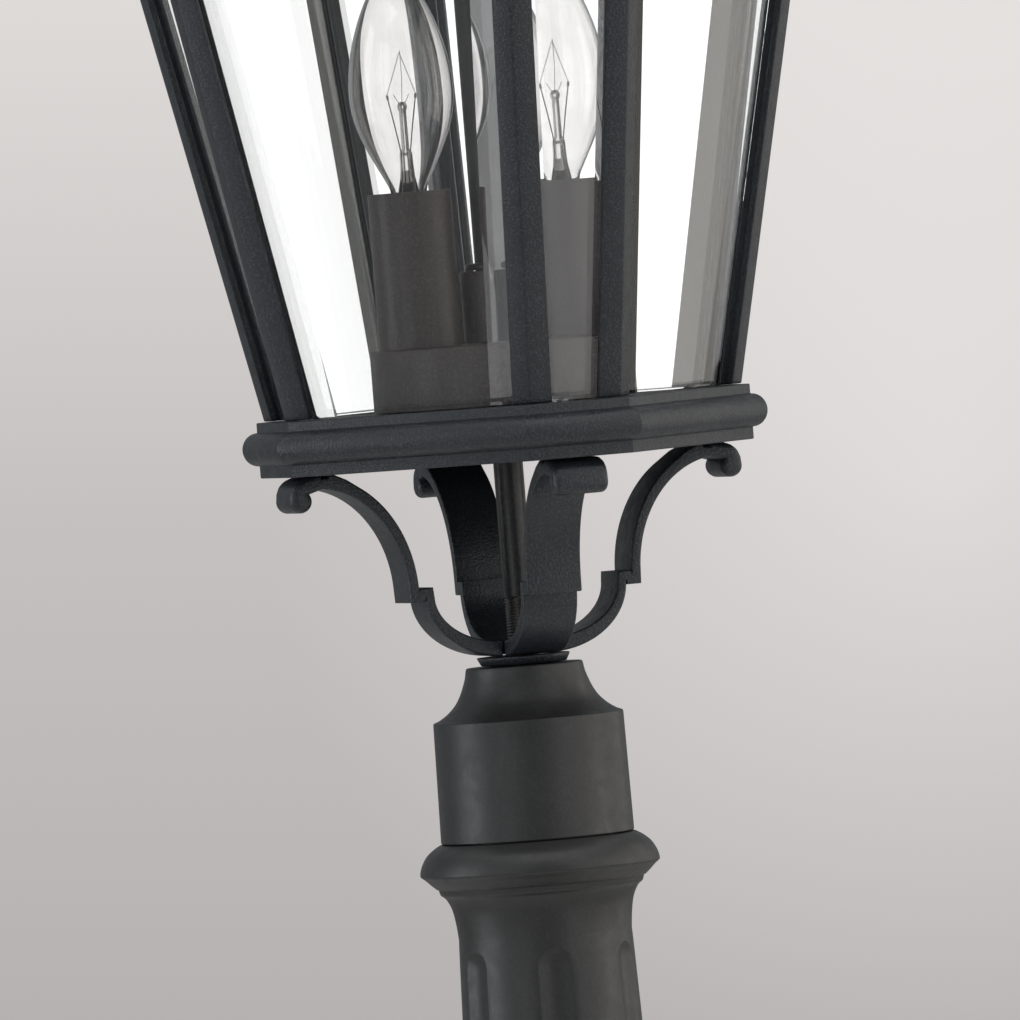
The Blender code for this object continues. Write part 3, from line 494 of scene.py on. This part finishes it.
def stacked(name, rings, closed, sharp=30):
    """Skin a stack of rings. A closed stack joins its last ring to its first."""
    bm = bmesh.new()
    loops = [[bm.verts.new(point) for point in ring] for ring in rings]
    count = len(loops[0])
    pairs = list(zip(loops, loops[1:]))
    if closed:
        pairs.append((loops[-1], loops[0]))
    for low, high in pairs:
        for i in range(count):
            j = (i + 1) % count
            bm.faces.new((low[i], low[j], high[j], high[i]))
    if not closed:
        bm.faces.new(loops[0])
        bm.faces.new(loops[-1])
    return mesh_from(bm, name, sharp)


def circle(radius, z, count, turn=0.0):
    """Ring of points round the lamp's axis."""
    step = 2 * math.pi / count
    return [(radius * math.cos(turn + i * step), radius * math.sin(turn + i * step), z)
            for i in range(count)]


def round_edges(obj, width, segments=3, angle=28):
    """Bevel the edges of a piece that are sharper than an angle in degrees, and apply it."""
    mod = obj.modifiers.new("round", "BEVEL")
    mod.width = width
    mod.segments = segments
    mod.limit_method = "ANGLE"
    mod.angle_limit = math.radians(angle)
    mod.harden_normals = False
    mod.use_clamp_overlap = True
    apply_modifiers(obj)
    obj.data.shade_smooth()
    obj.data.set_sharp_from_angle(angle=math.radians(50))
    return obj


def apply_modifiers(obj):
    graph = bpy.context.evaluated_depsgraph_get()
    mesh = bpy.data.meshes.new_from_object(obj.evaluated_get(graph))
    obj.modifiers.clear()
    obj.data = mesh


def rounded_copy(node, name, mat, width):
    """A CAD node's own shape with its flat faces joined up and its edges rounded."""
    bm = bmesh.new()
    bm.from_mesh(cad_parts[node].data)
    bmesh.ops.remove_doubles(bm, verts=bm.verts, dist=1e-5)
    bmesh.ops.dissolve_limit(bm, angle_limit=math.radians(0.6), verts=bm.verts, edges=bm.edges)
    mesh = mesh_from(bm, name)
    mesh.materials.clear()
    obj = add(name, mesh, mat)
    return round_edges(obj, width)


def place(obj, body, slot, *nodes):
    """Put a piece on its body and hide the CAD nodes it stands in for; its colour slot is not used.
    """
    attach(obj, body)
    if nodes:
        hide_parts(*nodes)
    return obj


def refinish(node, mat):
    """Keep a CAD node's shape and give it a better material."""
    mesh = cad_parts[node].data
    mesh.materials.clear()
    mesh.materials.append(mat)


def chamfered_square(half, leg, z):
    """Square ring of points whose corners are cut off by the length of a leg."""
    c = half - leg
    plan = [(half, -c), (half, c), (c, half), (-c, half),
            (-half, c), (-half, -c), (-c, -half), (c, -half)]
    return [(x, y, z) for x, y in plan]


def offset_leg(leg, out):
    """Chamfer leg after every side has moved out by the same distance."""
    return leg + out * (2 - math.sqrt(2))


# ---- lantern -----------------------------------------------------------------------------

RING_HALF = 0.0705
RING_LEG = 0.0256                       # of its cut corners
RING_LIP = -0.00335                     # lower edge of the lip above the ring's bead
RING_BEAD = (0.0050, 0.0056)            # reach and half height
STRAP_WIDTH = 0.0192
STRAP_EDGE, ROLL_EDGE = 0.0007, 0.0016  # edge rounding, and what the rolled end adds to it
ROLL_START, ROLL_RUN = 0.066, 0.008
EDGE_STEPS = 6
MITRE_LIMIT = 0.5
CURL = (0.0081, -0.0627)                # centres of a bracket's curves: the curl at the hub,
SWEEP = (0.0717, -0.0607)               # the long sweep up to the ring,
ROLL = (0.0761, -0.0271)                # and the rolled end


def ring_shape(out, z):
    """Ring of points that runs round the base ring, moved out and up."""
    return chamfered_square(RING_HALF + out, offset_leg(RING_LEG, out), RING_TOP + z)


def make_base_ring(mats):
    outline = [(-0.0003, 0.0), (0.0, -0.0003), (0.0, RING_LIP)]
    outline += arc((0.0, RING_LIP - RING_BEAD[1]), RING_BEAD, 88, -88, 28)
    outline += [(0.0, -0.01455), (0.0, -0.0184), (-0.0003, -0.0187), (-0.0205, -0.0187),
                (-0.0205, -0.0026), (-0.0135, -0.0026), (-0.0135, 0.0)]
    rings = [ring_shape(out, z) for out, z in outline]
    mesh = stacked("base_ring_fine", rings, closed=True, sharp=25)
    obj = add("base_ring_fine", mesh, mats["lantern"])
    round_edges(obj, 0.00035, segments=2, angle=35)
    place(obj, "lantern", "lantern_black", "base_ring")


def make_cage(mats):
    for i in range(1, 9):
        post = rounded_copy(f"cage_post_{i}", f"cage_post_fine_{i}", mats["lantern"], width=0.0005)
        place(post, "lantern", "lantern_black", f"cage_post_{i}")
    for i in range(1, 5):
        refinish(f"wide_pane_{i}", mats["pane"])
        refinish(f"narrow_pane_{i}", mats["pane"])
    top = rounded_copy("top_ring", "top_ring_fine", mats["lantern"], width=0.0008)
    place(top, "lantern", "lantern_black", "top_ring")
    floor = rounded_copy("floor_plate", "floor_plate_fine", mats["cluster"], width=0.0004)
    place(floor, "lantern", "cluster_brown", "floor_plate")


def strap_outline():
    """Side view of a bracket, as (distance from the lamp's axis, height from the ring)."""
    outline = [(0.0100, -0.0845)]
    outline += arc(CURL, (0.0273, -0.0218), 84, 0, 24)
    outline += [(0.0354, -0.0641), (0.0407, -0.0641)]
    outline += arc(SWEEP, (-0.0308, 0.0374), 4, 84, 34)
    outline += arc(ROLL, (0.0039, 0.0039), 146, 362, 36)
    outline += smooth([(0.0797, -0.0243), (0.0786, -0.0219), (0.0766, -0.0201),
                       (0.0740, -0.0191)], 4)
    outline += [(0.0690, -0.0190), (0.0685, -0.0199), (0.0666, -0.0199), (0.0661, -0.0190)]
    outline += smooth([(0.0640, -0.0190), (0.0598, -0.0210)], 3)
    outline += arc(SWEEP, (-0.0342, 0.0417), 62, 0, 28)
    outline += [(0.0375, -0.0594), (0.0326, -0.0594)]
    outline += arc(CURL, (0.0242, -0.0167), 0, 84, 22)
    outline += [(0.0100, -0.0795)]
    return outline


def edge_radius(distance):
    """Edge rounding of a strap: small along it, and full over the rolled end."""
    t = min(1.0, max(0.0, (distance - ROLL_START) / ROLL_RUN))
    return STRAP_EDGE + ROLL_EDGE * t * t * (3 - 2 * t)


def inward_offsets(outline):
    """Vectors that move every outline point inwards by one unit, mitred at corners."""
    area = sum(a[0] * b[1] - b[0] * a[1] for a, b in zip(outline, outline[1:] + outline[:1]))
    sign = 1.0 if area > 0 else -1.0
    offsets = []
    for i, here in enumerate(outline):
        before = (Vector(here) - Vector(outline[i - 1])).normalized()
        after = (Vector(outline[(i + 1) % len(outline)]) - Vector(here)).normalized()
        normals = [Vector((-d.y, d.x)) * sign for d in (before, after)]
        middle = (normals[0] + normals[1]).normalized()
        offsets.append(middle / max(MITRE_LIMIT, middle.dot(normals[0])))
    return offsets


def make_bracket_mesh():
    """One strap along +X: its side view skinned across its width, with rounded edges."""
    outline = strap_outline()
    offsets = inward_offsets(outline)
    step = 90 / (EDGE_STEPS - 1)
    rings = []
    for side in (-1, 1):
        for k in range(EDGE_STEPS):
            t = math.radians(90 - step * k if side < 0 else step * k)
            ring = []
            for (x, z), move in zip(outline, offsets):
                radius = edge_radius(x)
                y = side * (STRAP_WIDTH / 2 - radius * (1 - math.sin(t)))
                inset = radius * (1 - math.cos(t))
                ring.append((x + move.x * inset, y, RING_TOP + z + move.y * inset))
            rings.append(ring)
    return stacked("bracket", rings, closed=False, sharp=38)


def make_brackets(mats):
    shape = make_bracket_mesh()
    for i in range(4):
        number = i + 1
        obj = add(f"scroll_bracket_fine_{number}", shape.copy(), mats["lantern"])
        obj.data.transform(Matrix.Rotation(math.radians(45 + 90 * i), 4, "Z"))
        place(obj, "lantern", "lantern_black", f"scroll_bracket_{number}")
        refinish(f"bracket_screw_{number}", mats["steel"])


def make_hub(mats):
    """Eight-sided plate whose flats face the axes and the brackets."""
    turn = math.pi / 8
    bore = 0.0058
    outline = [(0.0143, -0.0878), (0.0147, -0.0874), (0.0158, -0.0853), (0.0158, -0.0848),
               (bore, -0.0848), (bore, -0.0878)]
    rings = [circle(r, RING_TOP + z, 8, turn) for r, z in outline]
    hub = add("hub_fine", stacked("hub", rings, closed=True, sharp=25), mats["lantern"])
    round_edges(hub, 0.0004, segments=2, angle=30)
    place(hub, "lantern", "lantern_black", "hub")


def make_fitter(mats):
    outline = [(0.0054, -0.0881), (0.0193, -0.0881), (0.0196, -0.0883)]
    outline += smooth([(0.0198, -0.0888), (0.0203, -0.0915), (0.0212, -0.0942), (0.0224, -0.0971),
                       (0.0242, -0.1001), (0.0268, -0.1028), (0.0297, -0.1048),
                       (0.0318, -0.1057)], 5)
    outline += [(0.0320, -0.1059), (0.0321, -0.1063), (0.0326, -0.1460), (0.0324, -0.1463),
                (0.0321, -0.1464), (0.0293, -0.1464), (0.0293, -0.1095), (0.0140, -0.1060),
                (0.0140, -0.0961), (0.0054, -0.0961)]
    outline = [(r, RING_TOP + z) for r, z in outline]
    fitter = add("fitter_collar_fine", turned("fitter", outline[::-1], segments=160), mats["post"])
    place(fitter, "lantern", "post_black", "fitter_collar")


def make_tube(mats):
    """Centre tube: painted above, with a bare rolled thread on its lower end."""
    pitch, depth, radius, bore = 0.0010, 0.0005, 0.0050, 0.0032
    low, thread_top, high = -0.1040, -0.0655, 0.4200
    count, rows_per_turn = 40, 8
    row_count = int((thread_top - low) / pitch * rows_per_turn) + 1
    rows = [low + i * pitch / rows_per_turn for i in range(row_count)]
    rings = [circle(bore, RING_TOP + low, count)]
    for z in rows:
        ring = []
        for i in range(count):
            t = 2 * math.pi * i / count
            phase = (z / pitch - i / count) % 1.0
            r = radius - depth * abs(2 * phase - 1)
            ring.append((r * math.cos(t), r * math.sin(t), RING_TOP + z))
        rings.append(ring)
    rings.append(circle(bore, rings[-1][0][2], count))
    thread = add("tube_thread", stacked("thread", rings, closed=True, sharp=60), mats["steel"])
    place(thread, "lantern", "steel")

    start = thread_top + pitch / rows_per_turn
    outline = [(bore, start), (radius - 0.0003, start), (radius, start + 0.0004),
               (radius, high - 0.0005), (radius - 0.0005, high), (bore, high)]
    outline = [(r, RING_TOP + z) for r, z in outline]
    tube = add("center_tube_fine", turned("tube", outline, segments=64), mats["tube"])
    place(tube, "lantern", "steel", "center_tube")


def make_cluster(mats):
    """Drum that carries the candles, the stem on it, and the washer that holds it down."""
    top, bore, wall = 0.0210, 0.0054, 0.0015
    drum = [(0.0411, 0.0), (0.0426, 0.0), (0.0426, top - 0.0009), (0.0423, top - 0.0003),
            (0.0417, top), (bore, top), (bore, top - wall), (0.0411, top - wall)]
    stem = [(bore, 0.0213), (0.0101, 0.0213), (0.0104, 0.0216), (0.0104, 0.0450),
            (0.0101, 0.0454), (bore, 0.0454)]
    washer = [(bore, 0.0457)]
    washer += arc((0.0074, 0.04685), (0.0010, 0.00115), -90, 90, 10)
    washer += [(bore, 0.0480)]
    for name, outline, mat, node, slot in (
            ("cluster_drum_fine", drum, mats["cluster"], "cluster_drum", "cluster_brown"),
            ("cluster_stem_fine", stem, mats["cluster"], "cluster_stem", "cluster_brown"),
            ("stem_nut_fine", washer, mats["tube"], "stem_nut", "steel")):
        outline = [(r, RING_TOP + z) for r, z in outline]
        obj = add(name, turned(name, outline, segments=128), mat)
        place(obj, "lantern", slot, node)


# ---- candle bulbs ------------------------------------------------------------------------

BULB_NECK_R, BULB_WIDEST = 0.0059, 0.0176
BULB_NECK, BULB_SHOULDER, BULB_TIP = 0.0740, 0.1070, 0.1545
SHOULDER_FULLNESS = 1.12
GLASS_WALL, TIP_WALL = 0.0005, 0.0030
PINCH_LOW, PINCH_HIGH = 0.079, 0.0880   # where the glass mount is squeezed flat
PINCH_FLATNESS = 0.55
LEAD_R, CLAMP_R, HOOK_R = 0.00022, 0.00042, 0.00010
COIL_TURNS, COIL_R, COIL_WIRE_R = 70, 0.00018, 0.00006
COIL_APEX = (0.0004, 0.0, 0.1206)


def bulb_outline(steps):
    """Outside of a candle bulb, from its neck to its tip, as (radius, height from the ring)."""
    points = [(BULB_NECK_R, 0.0664), (BULB_NECK_R, 0.0700), (BULB_NECK_R, 0.0730)]
    for i in range(1, steps + 1):
        t = i / steps
        rise = math.sin(t * math.pi / 2) ** SHOULDER_FULLNESS
        points.append((BULB_NECK_R + (BULB_WIDEST - BULB_NECK_R) * rise,
                       BULB_NECK + (BULB_SHOULDER - BULB_NECK) * t))
    for i in range(1, steps + 1):
        t = math.sin(i / steps * math.pi / 2)
        points.append((BULB_WIDEST * (1 - t * t), BULB_SHOULDER + (BULB_TIP - BULB_SHOULDER) * t))
    return points


def wire(name, points, radius, mat, spot, body):
    """Straight runs of round wire through points, placed on a bulb's spot and body."""
    data = bpy.data.curves.new(name, "CURVE")
    data.dimensions = "3D"
    data.bevel_depth = radius
    data.bevel_resolution = 2
    data.use_fill_caps = True
    spline = data.splines.new("POLY")
    spline.points.add(len(points) - 1)
    for point, xyz in zip(spline.points, points):
        point.co = (*xyz, 1)
    data.materials.append(mat)
    obj = bpy.data.objects.new(name, data)
    obj.location = spot
    bpy.context.scene.collection.objects.link(obj)
    place(obj, body, "steel")


def coil(start, middle, end, turns, radius, steps_per_turn=10):
    """A fine coil that runs from start over middle to end."""
    start, middle, end = Vector(start), Vector(middle), Vector(end)
    points = []
    total = turns * steps_per_turn
    for i in range(total + 1):
        t = i / total
        if t < 0.5:
            center, along = start.lerp(middle, t * 2), (middle - start).normalized()
        else:
            center, along = middle.lerp(end, t * 2 - 1), (end - middle).normalized()
        side = along.orthogonal().normalized()
        other = along.cross(side)
        turn = 2 * math.pi * turns * t
        points.append(center + (side * math.cos(turn) + other * math.sin(turn)) * radius)
    return points


def make_sleeve(number, spot, mats):
    """Candle sleeve, with the CAD's lampholder and bulb cap inside it."""
    outline = [(0.0129, 0.0213), (0.0141, 0.0213), (0.0141, 0.0731), (0.0139, 0.0736),
               (0.0136, 0.0737), (0.0131, 0.0737), (0.0129, 0.0734)]
    shape = turned("sleeve", outline, segments=96)
    sleeve = add(f"candle_sleeve_fine_{number}", shape, mats["cluster"], spot)
    place(sleeve, "lantern", "cluster_brown", f"candle_sleeve_{number}")
    refinish(f"lampholder_{number}", mats["holder"])
    refinish(f"bulb_cap_{number}", mats["brass"])


def make_glass(number, spot, body, mats):
    """Hollow bulb, and the glass mount in it that carries the wires."""
    outer = bulb_outline(26)
    inner = [(max(r - GLASS_WALL, 0.0), z) for r, z in outer[:-4]] + [(0.0, BULB_TIP - TIP_WALL)]
    bulb = turned("bulb", outer[::-1] + inner, segments=72, sharp=40)
    glass = add(f"bulb_glass_fine_{number}", bulb, mats["bulb"], spot)
    place(glass, body, "bulb_glass", f"bulb_glass_{number}")

    flare = [(0, 0.0668), (0.0046, 0.0668), (0.0042, 0.0700), (0.0034, 0.0745),
             (0.0027, 0.0790), (0.0024, 0.0830), (0.0023, 0.0868), (0.0018, 0.0877),
             (0.0013, 0.0884), (0.0012, 0.0960), (0.0012, 0.1010), (0.0016, 0.1018),
             (0.0017, 0.1028), (0.0011, 0.1038), (0, 0.1041)]
    shape = turned("mount", flare, segments=48, sharp=50)
    mount = add(f"filament_mount_{number}", shape, mats["bulb"], spot)
    for vert in mount.data.vertices:
        if PINCH_LOW < vert.co.z < PINCH_HIGH:
            vert.co.y *= PINCH_FLATNESS
    place(mount, body, "bulb_glass", f"filament_stem_{number}")


def make_filament(number, spot, body, mats):
    """Two leads with clamps on their tips, the coil between them, and the hooks that hold it."""
    turn = Matrix.Rotation(CAMERA_AZIMUTH, 4, "Z")
    tips = []
    for side, word in ((-1, "left"), (1, "right")):
        lead = [(side * 0.0017, 0, 0.0720), (side * 0.0016, 0, 0.0800), (side * 0.0015, 0, 0.0868),
                (side * 0.0030, 0.0004, 0.0962), (side * 0.0046, 0.0006, 0.1050),
                (side * 0.0048, 0.0006, 0.1066)]
        points = [turn @ Vector(p) for p in lead]
        wire(f"lead_wire_{number}_{word}", points, LEAD_R, mats["wire"], spot, body)
        wire(f"lead_tip_{number}_{word}", points[-2:], CLAMP_R, mats["wire"], spot, body)
        tips.append(points[-1])
    windings = coil(tips[0], turn @ Vector(COIL_APEX), tips[1], COIL_TURNS, COIL_R)
    wire(f"filament_{number}", windings, COIL_WIRE_R, mats["tungsten"], spot, body)
    hooks = [((0.0, 0.0, 0.1030), (0.0006, 0.0, 0.1120), (0.0006, 0.0, 0.1212)),
             ((0.0, 0.0, 0.1032), (-0.0014, 0.0004, 0.1042), (-0.0026, 0.0005, 0.1066)),
             ((0.0, 0.0, 0.1032), (0.0014, -0.0004, 0.1042), (0.0026, -0.0005, 0.1066))]
    for i, hook in enumerate(hooks):
        points = [turn @ Vector(p) for p in hook]
        wire(f"filament_hook_{number}_{i + 1}", points, HOOK_R, mats["wire"], spot, body)


def make_candle(number, mats):
    low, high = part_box(f"candle_sleeve_{number}")
    spot = ((low[0] + high[0]) / 2, (low[1] + high[1]) / 2, RING_TOP)
    body = f"bulb_{number}"
    make_sleeve(number, spot, mats)
    make_glass(number, spot, body, mats)
    make_filament(number, spot, body, mats)


# ---- head --------------------------------------------------------------------------------

LEG_RATIO = 0.325


def head_shape(half, z):
    """Ring of points that runs round the roof; its cut corners grow with it."""
    return chamfered_square(half, half * LEG_RATIO, z)


def make_roof(mats):
    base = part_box("top_ring")[1][2] + 0.0003
    rise, outer_half, top_half, sheet = 0.090, 0.118, 0.034, 0.0025
    eave_half, skirt_half, seat_half, bore_half = 0.1260, 0.117, 0.104, 0.012
    top = base + 0.0037 + rise
    skirt_low = base - 0.0063
    sweep = outer_half - top_half
    outer = [(eave_half, skirt_low)]
    outer += arc((eave_half, base - 0.0035), (0.0015, 0.0028), -80, 80, 10)
    outer += [(0.1225, base + 0.0015), (0.1195, base + 0.0032)]
    outer += arc((outer_half, top), (-sweep, -rise), 89, 1, 40)
    inner = arc((outer_half, top), (-sweep - sheet, -rise - sheet), 1.6, 80, 30)
    rings = [head_shape(half, z) for half, z in outer]
    rings += [head_shape(bore_half, top), head_shape(bore_half, top - sheet)]
    rings += [head_shape(half, z) for half, z in inner]
    rings += [head_shape(seat_half, base), head_shape(skirt_half, base),
              head_shape(skirt_half, skirt_low)]
    roof = add("roof_fine", stacked("roof", rings, closed=True, sharp=20), mats["lantern"])
    round_edges(roof, 0.0012, segments=3, angle=24)
    place(roof, "roof", "lantern_black", "roof")

    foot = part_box("roof_cap")[0][2]
    bore = 0.0056
    outline = [(bore, foot), (0.0298, foot)]
    outline += arc((0.0300, foot + 0.0025), (0.0012, 0.0025), -85, 85, 10)
    outline += [(0.0290, foot + 0.0052)]
    outline += arc((0.0290, foot + 0.026), (-0.0160, -0.0195), 88, 2, 20)
    outline += arc((0.0145, foot + 0.0302), (0.0035, 0.0036), -85, 85, 14)
    outline += [(0.0130, foot + 0.034), (bore, foot + 0.034)]
    cap = add("roof_cap_fine", turned("cap", outline, segments=96), mats["lantern"])
    place(cap, "roof", "lantern_black", "roof_cap")


def make_finial(mats):
    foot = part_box("finial")[0][2]
    tube_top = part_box("center_tube")[1][2]
    bore, bore_top = 0.0054, tube_top + 0.004 - foot
    outline = [(0.0, bore_top), (bore, bore_top), (bore, 0.0), (0.0103, 0.0)]
    outline += arc((0.0105, 0.0025), (0.0014, 0.0024), -80, 80, 10)
    outline += arc((0.0130, 0.0103), (-0.0049, -0.0052), 80, -80, 12)
    outline += arc((0.0, 0.0300), (0.0155, 0.0155), -50, 66, 26)
    outline += arc((0.0122, 0.0500), (-0.0073, -0.0060), 40, -10, 8)
    outline += [(0.0046, 0.0535), (0.0043, 0.0560), (0.0034, 0.0640), (0.0020, 0.0725),
                (0.0010, 0.0748), (0.0, 0.0755)]
    shape = turned("finial", outline, segments=72)
    finial = add("finial_fine", shape, mats["lantern"], (0, 0, foot))
    place(finial, "finial", "lantern_black", "finial")


# ---- post --------------------------------------------------------------------------------

POST_R = 0.0292                         # at the top of the shaft
TAPER_TOP, TAPER_GAIN, TAPER_REACH = -0.178, 0.0090, 0.250
FLUTES = 6
FLUTE_TURN = math.radians(2.0)
FLUTE_HALF = math.radians(11.25)
FLUTE_DEPTH = 0.0016
FLUTE_SOFTNESS = 1.15
FLUTE_TOP = -0.1828
FLUTE_STEPS, LAND_STEPS = 22, 8


def shaft_radius(z):
    below = max(TAPER_TOP - z, 0.0)
    return POST_R + TAPER_GAIN * (1 - math.exp(-below / TAPER_REACH))


def flute_cut(offset, radius, z, low, high):
    """Depth of a flute at an angle from its centre line; both its ends are round."""
    half = radius * FLUTE_HALF
    across = offset * radius / half
    along = max(z - (high - half), (low + half) - z, 0.0) / half
    return FLUTE_DEPTH * max(1 - across * across - along * along, 0.0) ** FLUTE_SOFTNESS


def shaft_ring(radius, z, fluted, low, high):
    """One ring of the shaft, with its points crowded into the flutes."""
    polar = []
    pitch = 2 * math.pi / FLUTES
    for i in range(FLUTES):
        middle = FLUTE_TURN + pitch * i
        for k in range(FLUTE_STEPS):
            part = -math.cos(math.pi * k / (FLUTE_STEPS - 1))
            cut = flute_cut(part * FLUTE_HALF, radius, z, low, high) if fluted else 0.0
            polar.append((radius - cut, middle + part * FLUTE_HALF))
        for k in range(1, LAND_STEPS):
            land = (pitch - 2 * FLUTE_HALF) * k / LAND_STEPS
            polar.append((radius, middle + FLUTE_HALF + land))
    return [(r * math.cos(angle), r * math.sin(angle), RING_TOP + z) for r, angle in polar]


def shaft_foot(foot, spigot):
    """Mouldings on top of the base, then a short flare into the shaft, as (radius, height)."""
    points = [(0.0340, spigot), (0.0340, foot), (0.0718, foot), (0.0722, foot + 0.0003)]
    points += arc((0.0722, foot + 0.004), (0.0013, 0.0036), -75, 85, 10)
    points += [(0.0700, foot + 0.0083), (0.0668, foot + 0.0092), (0.0660, foot + 0.0105)]
    points += arc((0.066, foot + 0.034), (-0.018, -0.0225), 88, 6, 20)
    points += [(0.0475, foot + 0.0345), (0.0470, foot + 0.0370)]
    points += arc((0.0460, foot + 0.043), (0.0055, 0.0055), -72, 72, 16)
    neck_r, neck, end, steps = 0.0418, 0.0520, foot + 0.072, 8
    points += [(0.0460, foot + 0.0495), (0.0430, foot + 0.0500), (neck_r, foot + neck)]
    for i in range(1, steps + 1):
        t = i / steps
        points.append((neck_r + (shaft_radius(end) - neck_r) * math.sin(t * math.pi / 2),
                       foot + neck + (end - foot - neck) * t))
    return points


def flute_levels(low, high):
    """Heights of the shaft's rings, crowded into the round ends of the flutes."""
    low_steps, steps, high_steps = 12, 24, 14
    half = shaft_radius(low) * FLUTE_HALF
    levels = [low + half * (1 - math.cos(math.pi / 2 * k / low_steps))
              for k in range(low_steps + 1)]
    body_low, body_high = low + half, high - shaft_radius(high) * FLUTE_HALF
    levels += [body_low + (body_high - body_low) * k / steps for k in range(1, steps)]
    half = shaft_radius(high) * FLUTE_HALF
    levels += [high - half + half * math.sin(math.pi / 2 * k / high_steps)
               for k in range(high_steps + 1)]
    return levels


def shaft_crown(spigot):
    """Collar on top of the shaft, and the way back down inside it, as (radius, height)."""
    points = smooth([(POST_R, -0.1790), (0.0294, -0.1765), (0.0298, -0.1730), (0.0305, -0.1692),
                     (0.0314, -0.1668), (0.0324, -0.1650)], 4)
    points += smooth([(0.0331, -0.1643), (0.0341, -0.1635), (0.0345, -0.1624),
                      (0.0347, -0.1617)], 3)
    points += smooth([(0.0354, -0.1614), (0.0370, -0.1600), (0.0386, -0.1584),
                      (0.0403, -0.1570)], 3)
    points += smooth([(0.0405, -0.1565), (0.0402, -0.1548), (0.0394, -0.1527), (0.0379, -0.1503),
                      (0.0358, -0.1484), (0.0336, -0.1470)], 5)
    points += [(0.0329, -0.1467), (0.0290, -0.1467), (0.0290, -0.1115), (0.0280, -0.1105),
               (0.0240, -0.1105), (0.0240, spigot)]
    return points


def make_shaft(mats):
    """Shaft from the spigot inside the base up to its collar, in one skin."""
    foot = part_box("base_casting")[1][2] + 0.0003 - RING_TOP
    spigot = foot - 0.038
    low, high = foot + 0.085, FLUTE_TOP
    rings = [shaft_ring(r, z, False, low, high) for r, z in shaft_foot(foot, spigot)]
    rings += [shaft_ring(shaft_radius(z), z, True, low, high) for z in flute_levels(low, high)]
    rings += [shaft_ring(r, z, False, low, high) for r, z in shaft_crown(spigot)]
    shaft = add("shaft_fine", stacked("shaft", rings, closed=True, sharp=32), mats["post"])
    place(shaft, "post", "post_black", "shaft")


def make_base(mats):
    casting = rounded_copy("base_casting", "base_casting_fine", mats["post"], width=0.0007)
    place(casting, "post", "post_black", "base_casting")
    door = rounded_copy("access_door", "access_door_fine", mats["post"], width=0.0006)
    place(door, "door", "post_black", "access_door")
    for i in range(1, 5):
        refinish(f"anchor_nut_{i}", mats["steel"])
    for node in ("hinge_pin", "door_lock", "foot_nut", "lock_nut", "grub_screw_1", "grub_screw_2"):
        refinish(node, mats["steel"])
    refinish("terminal_box", mats["terminal"])


def main():
    make_camera()
    make_lights()
    make_world()
    make_floor()
    mats = make_materials()
    make_base_ring(mats)
    make_cage(mats)
    make_brackets(mats)
    make_hub(mats)
    make_fitter(mats)
    make_tube(mats)
    make_cluster(mats)
    for number in (1, 2):
        make_candle(number, mats)
    make_roof(mats)
    make_finial(mats)
    make_shaft(mats)
    make_base(mats)


main()
